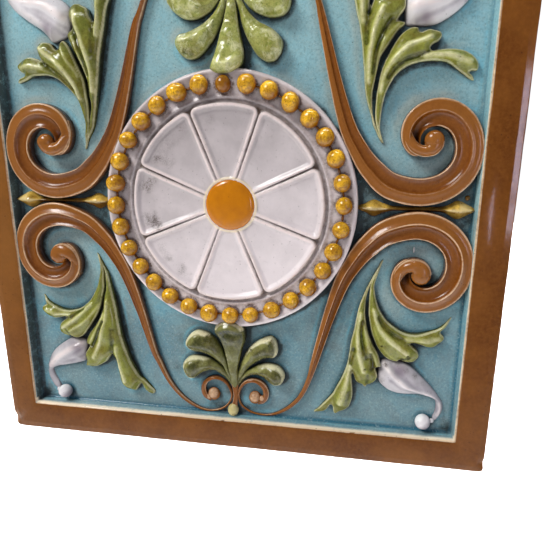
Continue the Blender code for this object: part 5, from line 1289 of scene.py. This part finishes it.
class Glaze(Recipe):
    """A glaze that is laid on colour over colour."""

    def __init__(self, name, effects):
        self.material = bpy.data.materials.new(name)
        self.material.use_nodes = True
        super().__init__(self.material.node_tree)
        self.shader = self.tree.nodes["Principled BSDF"]
        self.effects = effects

    def use(self, key, **inputs):
        return self.node("ShaderNodeGroup", node_tree=self.effects[key], inputs=inputs).outputs[0]

    def start(self, share, first, second):
        self.colour = self.mix(share, tint(*first), tint(*second))

    def over(self, share, colour, most=None):
        """Lays a colour over the others by a share."""
        if most is not None:
            share = self.times(share, most)
        self.colour = self.mix(share, self.colour, tint(*colour))

    def clouds(self, scale, detail, rough, low, high, most, colour, warp=0.0):
        """Lays a colour on in soft patches."""
        self.over(self.ramp(self.noise(scale, detail, rough, warp), low, high, 0.0, most), colour)

    def by_mask(self, name, low, high, most, colour):
        """Lays a colour on where a mask of the piece rises."""
        self.over(self.ramp(self.mask(name), low, high, 0.0, most), colour)

    def rubbed_and_lit(self, name, breakup, most, colour):
        """Lays a colour on by a worn mask: where the glaze is worn through, and on some pieces a painted
        highlight.
        """
        self.over(self.use("worn", Worn=self.mask(name), Breakup=breakup), colour, most)

    def soiled_and_shaded(self, amount, dirt_and_shade, size, share, most, fleck):
        """Lays on dirt and painted shadow by the grime mask, and specks."""
        self.grime = self.use("grime", Grime=self.mask("grime"), Amount=amount)
        self.over(self.grime, dirt_and_shade)
        self.over(self.use("specks", Size=size, Share=share), fleck, most)

    def bump(self, height, strength):
        made = self.node("ShaderNodeBump", inputs={
            "Strength": strength, "Distance": BUMP_DEPTH, "Height": height})
        self.feed(self.shader.inputs["Normal"], made.outputs["Normal"])

    def finish(self, rough, dull=None, shine=0.5, bump=0.35):
        """Sets the gloss, duller under the dirt and painted shade, or by a given mask."""
        self.feed(self.shader.inputs["Base Color"], self.colour)
        patch = self.ramp(self.noise(240.0), 0.3, 0.7, rough * 0.75, rough * 1.3)
        self.feed(self.shader.inputs["Roughness"], self.plus(patch, self.times(dull or self.grime, 0.45)))
        self.shader.inputs["IOR"].default_value = GLASS_IOR
        self.shader.inputs["Specular IOR Level"].default_value = shine
        self.bump(self.use("surface", Ripple=1.0, Pits=1.0), bump)
        return self.material


def ground_glaze(effects):
    """Turquoise: greyish and clouded in the open, deep teal where it pooled, pale blue beside the pools,
    with painted light towards the top and painted shade in hollows and under the forms.
    """
    g = Glaze("turquoise_ground_glaze", effects)
    cloud = g.noise(38.0, 5.0, 0.65, 0.4)
    g.start(g.ramp(cloud, 0.35, 0.65), (114, 172, 188), (158, 192, 193))
    film = g.times(g.ramp(g.noise(62.0, 5.0, 0.7, 0.8), 0.42, 0.68),
                   g.ramp(g.noise(900.0, 4.0, 0.7), 0.3, 0.6, 0.5, 1.0))
    g.over(film, (140, 143, 134), 0.65)
    g.over(g.ramp(g.along("Z"), -0.030, -0.062, 0.0, 0.52), (98, 126, 136))
    # painted light: the ground paler towards the top, as lit from above
    g.over(g.ramp(g.along("Z"), 0.010, 0.050, 0.0, 0.5), (158, 208, 216))
    # pale film inside the volutes, and painted light on the lit sides of the forms in the upper half
    dry_film_and_light = g.times(g.mask("film"), g.ramp(g.noise(90.0, 5.0, 0.7), 0.35, 0.6, 0.3, 0.9))
    g.over(dry_film_and_light, (176, 192, 186))
    # deep teal: glaze pooled at the forms' feet, with painted shade, less of it on their lit sides and
    # towards the top
    pool = g.plus(g.mask("pool"), g.times(g.minus(cloud, 0.5), 0.5))
    g.over(g.ramp(pool, 0.3, 1.0, 0.0, 0.9), (30, 100, 124))
    # pale blue beside the pools: thin glaze, and a painted highlight along the forms' feet
    beside = g.times(g.ramp(pool, 0.05, 0.22), g.ramp(pool, 0.5, 0.28))
    g.over(g.times(beside, g.ramp(g.noise(70.0), 0.45, 0.65, 0.0, 0.5)), (108, 196, 220))
    g.clouds(1500.0, 4.0, 0.75, 0.48, 0.66, 0.42, (86, 112, 114))
    g.clouds(1100.0, 4.0, 0.75, 0.52, 0.68, 0.35, (196, 218, 212), warp=0.3)
    # painted shade in the hollows
    g.by_mask("hollow", 0.0, 1.0, 0.85, (24, 32, 34))
    # dirt and painted shadow under the forms, and specks
    g.soiled_and_shaded(0.9, (40, 44, 42), 1300.0, 0.07, 0.55, (50, 54, 52))
    # the worn arris, and along the bottom its lit wall painted cream: painted light
    g.rubbed_and_lit("rim", 0.35, None, (236, 222, 196))
    return g.finish(0.16, shine=0.38)


def border_glaze(effects):
    """Brown: brighter at the left, rubbed through at the arris, ending raggedly on the bare sides."""
    g = Glaze("brown_border_glaze", effects)
    g.start(g.ramp(g.noise(55.0, 4.0, 0.6), 0.35, 0.68), (102, 56, 14), (130, 78, 26))
    g.clouds(700.0, 4.0, 0.7, 0.4, 0.75, 0.45, (146, 86, 32))
    bright = g.times(g.ramp(g.along("X"), -0.06, -0.094, 0.0, 0.48),
                     g.ramp(g.along("Z"), -0.09, -0.02, 0.3, 1.0))
    g.over(bright, (148, 98, 46))
    g.rubbed_and_lit("rim", 0.35, None, (232, 205, 168))
    g.rubbed_and_lit("crest", 0.4, 0.25, (196, 140, 90))
    g.soiled_and_shaded(0.6, (60, 44, 30), 900.0, 0.06, 0.6, (60, 36, 18))
    ragged = g.plus(g.along("Y"), g.times(g.minus(g.noise(60.0, 4.0), 0.5), 0.006))
    bare = g.ramp(ragged, -0.0062, -0.0050)
    g.over(bare, (196, 170, 136))
    return g.finish(0.09, g.math("MAXIMUM", g.grime, bare), shine=0.3, bump=0.06)


def bare_clay(effects):
    """The bare clay of the back."""
    g = Glaze("bare_clay", effects)
    g.start(g.ramp(g.noise(90.0, 5.0, 0.65), 0.3, 0.7), (178, 150, 116), (206, 184, 152))
    g.clouds(24.0, 4.0, 0.6, 0.5, 0.72, 0.5, (150, 128, 104))
    g.over(g.use("specks", Size=700.0, Share=0.12), (120, 92, 66))
    g.feed(g.shader.inputs["Base Color"], g.colour)
    g.shader.inputs["Roughness"].default_value = 0.85
    g.bump(g.plus(g.noise(900.0, 5.0, 0.7), g.times(g.noise(110.0), 0.8)), 0.5)
    return g.material


def scroll_glaze(effects):
    """Brown: light outer band, dark channel with painted shade in it, cream worn ridges."""
    g = Glaze("brown_scroll_glaze", effects)
    g.start(g.mask("tone"), (108, 53, 5), (161, 102, 42))
    g.clouds(120.0, 4.0, 0.6, 0.35, 0.7, 0.5, (129, 72, 16))
    g.clouds(900.0, 4.0, 0.7, 0.4, 0.8, 0.35, (168, 104, 44))
    # the walls' foot: the ground's glaze run up them, painted dark as shade
    g.over(g.mask("foot"), (44, 62, 66), 0.85)
    g.rubbed_and_lit("worn", 0.45, 0.85, (232, 196, 158))
    # dirt and painted shadow, and specks
    g.soiled_and_shaded(0.8, (46, 26, 12), 1200.0, 0.05, 0.6, (60, 30, 12))
    return g.finish(0.2, shine=0.4)


def green_glaze(effects, name, low, high, patch, pale=0.9, rough=0.16, mottled=False):
    """A green with pale ridges and dark troughs, painted from the tone as light and shade."""
    g = Glaze(name, effects)
    g.start(g.ramp(g.mask("tone"), 0.15, 0.75), low, high)
    g.clouds(150.0, 4.0, 0.6, 0.45, 0.68, 0.7, patch)
    g.clouds(520.0, 4.0, 0.7, 0.42, 0.8, 0.5, high)
    g.clouds(1500.0, 3.0, 0.7, 0.48, 0.66, 0.35, low)
    if mottled:
        g.clouds(210.0, 5.0, 0.75, 0.50, 0.62, 0.6, (228, 226, 182), warp=0.6)
        g.clouds(620.0, 5.0, 0.75, 0.50, 0.64, 0.6, (92, 112, 20))
    # the walls' foot: the ground's glaze run up them, painted dark as shade
    g.over(g.mask("foot"), (40, 54, 50), 0.8)
    g.rubbed_and_lit("worn", 0.45, pale, (240, 234, 190))
    # painted shade in the hollows
    g.by_mask("hollow", 0.1, 0.7, 0.85, (44, 52, 14))
    # dirt and painted shadow, and specks
    g.soiled_and_shaded(0.9, (26, 26, 14), 1200.0, 0.07, 0.7, (50, 44, 20))
    return g.finish(rough)


def white_glaze(effects, name, shade, light, full, whitest_where_lit=False):
    """A white, lighter and greyer by its tone as painted light and shade, with brown grooves, stained
    sockets and cream worn edges.
    """
    g = Glaze(name, effects)
    # painted light and shade: lighter where the tone is high, greyer where it is low
    lit = g.plus(g.mask("tone"), g.times(g.minus(g.noise(80.0, 4.0, 0.6), 0.5), 0.7))
    g.start(g.ramp(lit, 0.0, full), shade, light)
    # painted highlight: whitest where the tone is highest
    if whitest_where_lit:
        g.by_mask("tone", 0.8, 1.0, 1.0, (252, 250, 248))
    g.rubbed_and_lit("worn", 0.3, 0.75, (248, 230, 224))
    groove = g.ramp(g.plus(g.mask("groove"), g.minus(g.noise(500.0, 4.0), 0.5)), 0.1, 0.9)
    g.over(groove, (92, 72, 56), 0.85)
    # painted shade in the hollows
    g.by_mask("hollow", 0.2, 0.85, 0.6, (104, 86, 74))
    track = g.times(g.mask("track"), g.ramp(g.noise(620.0, 6.0, 0.8), 0.36, 0.6))
    g.over(g.math("MINIMUM", track, 1.0), (106, 82, 66), 0.85)
    speck = g.times(g.ramp(g.noise(300.0, 5.0, 0.75), 0.32, 0.68), g.noise(2400.0, 3.0, 0.7))
    stain = g.ramp(g.times(g.mask("stain"), speck), 0.05, 0.42)
    g.over(stain, (84, 70, 62), 0.85)
    g.over(g.mask("collar"), (248, 228, 192))
    g.by_mask("blush", 0.0, 1.0, 0.7, (120, 100, 116))
    # dirt and painted shadow, and specks
    g.soiled_and_shaded(0.8, (62, 54, 50), 1300.0, 0.05, 0.5, (96, 84, 78))
    return g.finish(0.2, g.math("MAXIMUM", g.grime, stain), shine=0.4)


def yellow_glaze(effects, name, light, deep, cloudy=0.8, toned=True, scorched=False, specks=0.16):
    """A yellow that runs to brown where its tone is low: painted shade on the beads' undersides and the
    spikes' lower facets.
    """
    g = Glaze(name, effects)
    g.start(g.ramp(g.noise(260.0, 4.0, 0.6), 0.32, 0.68, 0.0, cloudy), light, deep)
    # painted shade: deep brown where the tone is low
    if toned:
        g.over(g.ramp(g.mask("tone"), 0.2, 0.75, 0.9, 0.0), deep)
    if scorched:
        g.clouds(1300.0, 4.0, 0.7, 0.46, 0.62, 0.6, (128, 66, 6))
    g.rubbed_and_lit("worn", 0.4, 0.7, (244, 222, 160))
    # painted shade in the hollows
    g.by_mask("hollow", 0.1, 0.8, 0.8, (86, 46, 8))
    # dirt and painted shadow, and specks
    g.soiled_and_shaded(0.7, (50, 32, 14), 900.0, specks, 0.7, (120, 58, 8))
    return g.finish(0.11)


def make_glazes():
    effects = make_effects()
    return {
        "ground": ground_glaze(effects),
        "border": border_glaze(effects),
        "clay": bare_clay(effects),
        "scroll": scroll_glaze(effects),
        "leaf": green_glaze(effects, "green_leaf_glaze", (60, 66, 8), (166, 168, 74), (118, 102, 34),
                            pale=0.62),
        "lower": green_glaze(effects, "olive_palmette_glaze", (44, 48, 10), (168, 166, 96), (86, 78, 34),
                             rough=0.24),
        "upper": green_glaze(effects, "bright_palmette_glaze", (84, 92, 20), (194, 196, 112), (146, 136, 66),
                             mottled=True),
        "petal": white_glaze(effects, "white_petal_glaze", (180, 170, 169), (243, 231, 230), 0.8),
        "bud": white_glaze(effects, "white_bud_glaze", (140, 132, 142), (236, 230, 230), 0.5, whitest_where_lit=True),
        "bead": yellow_glaze(effects, "amber_bead_glaze", (255, 198, 44), (122, 64, 4), scorched=True),
        "button": yellow_glaze(effects, "amber_button_glaze", (206, 126, 0), (176, 98, 0), cloudy=0.45,
                               toned=False, specks=0.02),
        "spike": yellow_glaze(effects, "yellow_spike_glaze", (255, 212, 96), (96, 58, 8)),
        "drop": yellow_glaze(effects, "cream_drop_glaze", (236, 226, 172), (190, 172, 104))}


# Which glaze each piece has, by how its name begins
GLAZE_OF = {"scroll": "scroll", "curl": "scroll", "leaf": "leaf", "bud": "bud", "pearl": "bud",
            "casting": "bud", "palmette_lower": "lower", "palmette_upper": "upper", "rosette": "petal",
            "bead": "bead", "button": "button", "drop": "drop", "drip": "spike", "spike": "spike"}


def glaze_body(body, glazes):
    """Brown all round, turquoise in the sunk ground, bare at the back."""
    for key in ("border", "ground", "clay"):
        body.data.materials.append(glazes[key])
    for face in body.data.polygons:
        x, y, z = (value / MM for value in face.center)
        square = max(abs(x), abs(z))
        if square < 90.0 and y < -5:
            face.material_index = 1
        elif y > -0.2 or y > -1.6 and square < 100:
            face.material_index = 2


# The tile

body = make_blank()
make_scrolls()
make_leaves()
make_buds()
make_palmettes()
make_small_parts()
rosette = make_rosette()
make_beads()
make_button()

mask_everything(PIECES)
rub_arris_and_paint_lit_wall(body)
stain_rosette(rosette)

glazes = make_glazes()
glaze_body(body, glazes)
for piece in PIECES:
    if piece.name.startswith("spike"):
        weaken(piece, "hollow", 0.1)
        weaken(piece, "grime", 0.15)
    if piece is not body:
        key = next(key for start, key in GLAZE_OF.items() if piece.name.startswith(start))
        piece.data.materials.append(glazes[key])
    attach(piece, "root")
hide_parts("tile")


# Floor, light and camera

def area_light(name, place, aim, size, power, colour=(1, 1, 1), size_y=None, spread=180):
    data = bpy.data.lights.new(name, "AREA")
    data.energy, data.color, data.size, data.spread = power, colour, size, math.radians(spread)
    if size_y:
        data.shape, data.size_y = "RECTANGLE", size_y
    light = link(name, data)
    light.location = place
    light.rotation_euler = (Vector(aim) - Vector(place)).to_track_quat("-Z", "Y").to_euler()


bm = bmesh.new()
bmesh.ops.create_grid(bm, x_segments=1, y_segments=1, size=3.7)
bmesh.ops.translate(bm, verts=bm.verts, vec=(0, 0, -0.5))
floor = link("floor", turned_to_mesh(bm, "floor"))
pale = bpy.data.materials.new("pale_floor")
pale.use_nodes = True
pale.node_tree.nodes["Principled BSDF"].inputs["Base Color"].default_value = (0.6, 0.6, 0.6, 1)
pale.node_tree.nodes["Principled BSDF"].inputs["Roughness"].default_value = 0.9
floor.data.materials.append(pale)

world = bpy.data.worlds.new("soft_room")
bpy.context.scene.world = world
world.use_nodes = True
# the wall behind the tile is bright, the room in front of it dim
room = Recipe(world.node_tree)
toward = room.node("ShaderNodeSeparateXYZ", inputs={
    0: room.node("ShaderNodeTexCoord").outputs["Generated"]}).outputs["Y"]
room.feed(world.node_tree.nodes["Background"].inputs["Color"], room.mix(
    room.ramp(toward, -0.05, 0.30), (0.17, 0.18, 0.20, 1), (1.0, 1.0, 1.0, 1)))
world.node_tree.nodes["Background"].inputs["Strength"].default_value = 1.05

LAVENDER = (0.86, 0.79, 1.0)
area_light("window_upper_left", (-0.60, -0.55, 0.80), (-0.03, 0, 0), 0.38, 2.5, spread=90)
area_light("strip_right", (0.5676, -0.7646, 0.015), (0.101, 0, 0.015), 0.056, 0.68, LAVENDER, 0.30)
area_light("strip_low", (0.272, -0.867, -0.105), (0.092, 0, 0.0), 0.012, 0.06, LAVENDER, 0.08)
area_light("backdrop", (0.3, 2.1, 2.2), (0.3, 2.1, -0.5), 4.4, 300.0, spread=60)

camera_data = bpy.data.cameras.new("camera")
camera_data.sensor_width, camera_data.lens = 36.0, 32.6
camera_data.clip_start = 0.01
camera = link("camera", camera_data)
right, down, ahead = (Vector(v) for v in ((0.98663, 0.16279, 0.00730), (0.04845, -0.25029, -0.96696),
                                          (-0.15558, 0.95439, -0.25483)))
camera.matrix_world = Matrix((
    (right.x, -down.x, -ahead.x, 0.050393), (right.y, -down.y, -ahead.y, -0.199231),
    (right.z, -down.z, -ahead.z, 0.021579), (0, 0, 0, 1)))
bpy.context.scene.camera = camera
bpy.context.scene.view_settings.view_transform = "Standard"
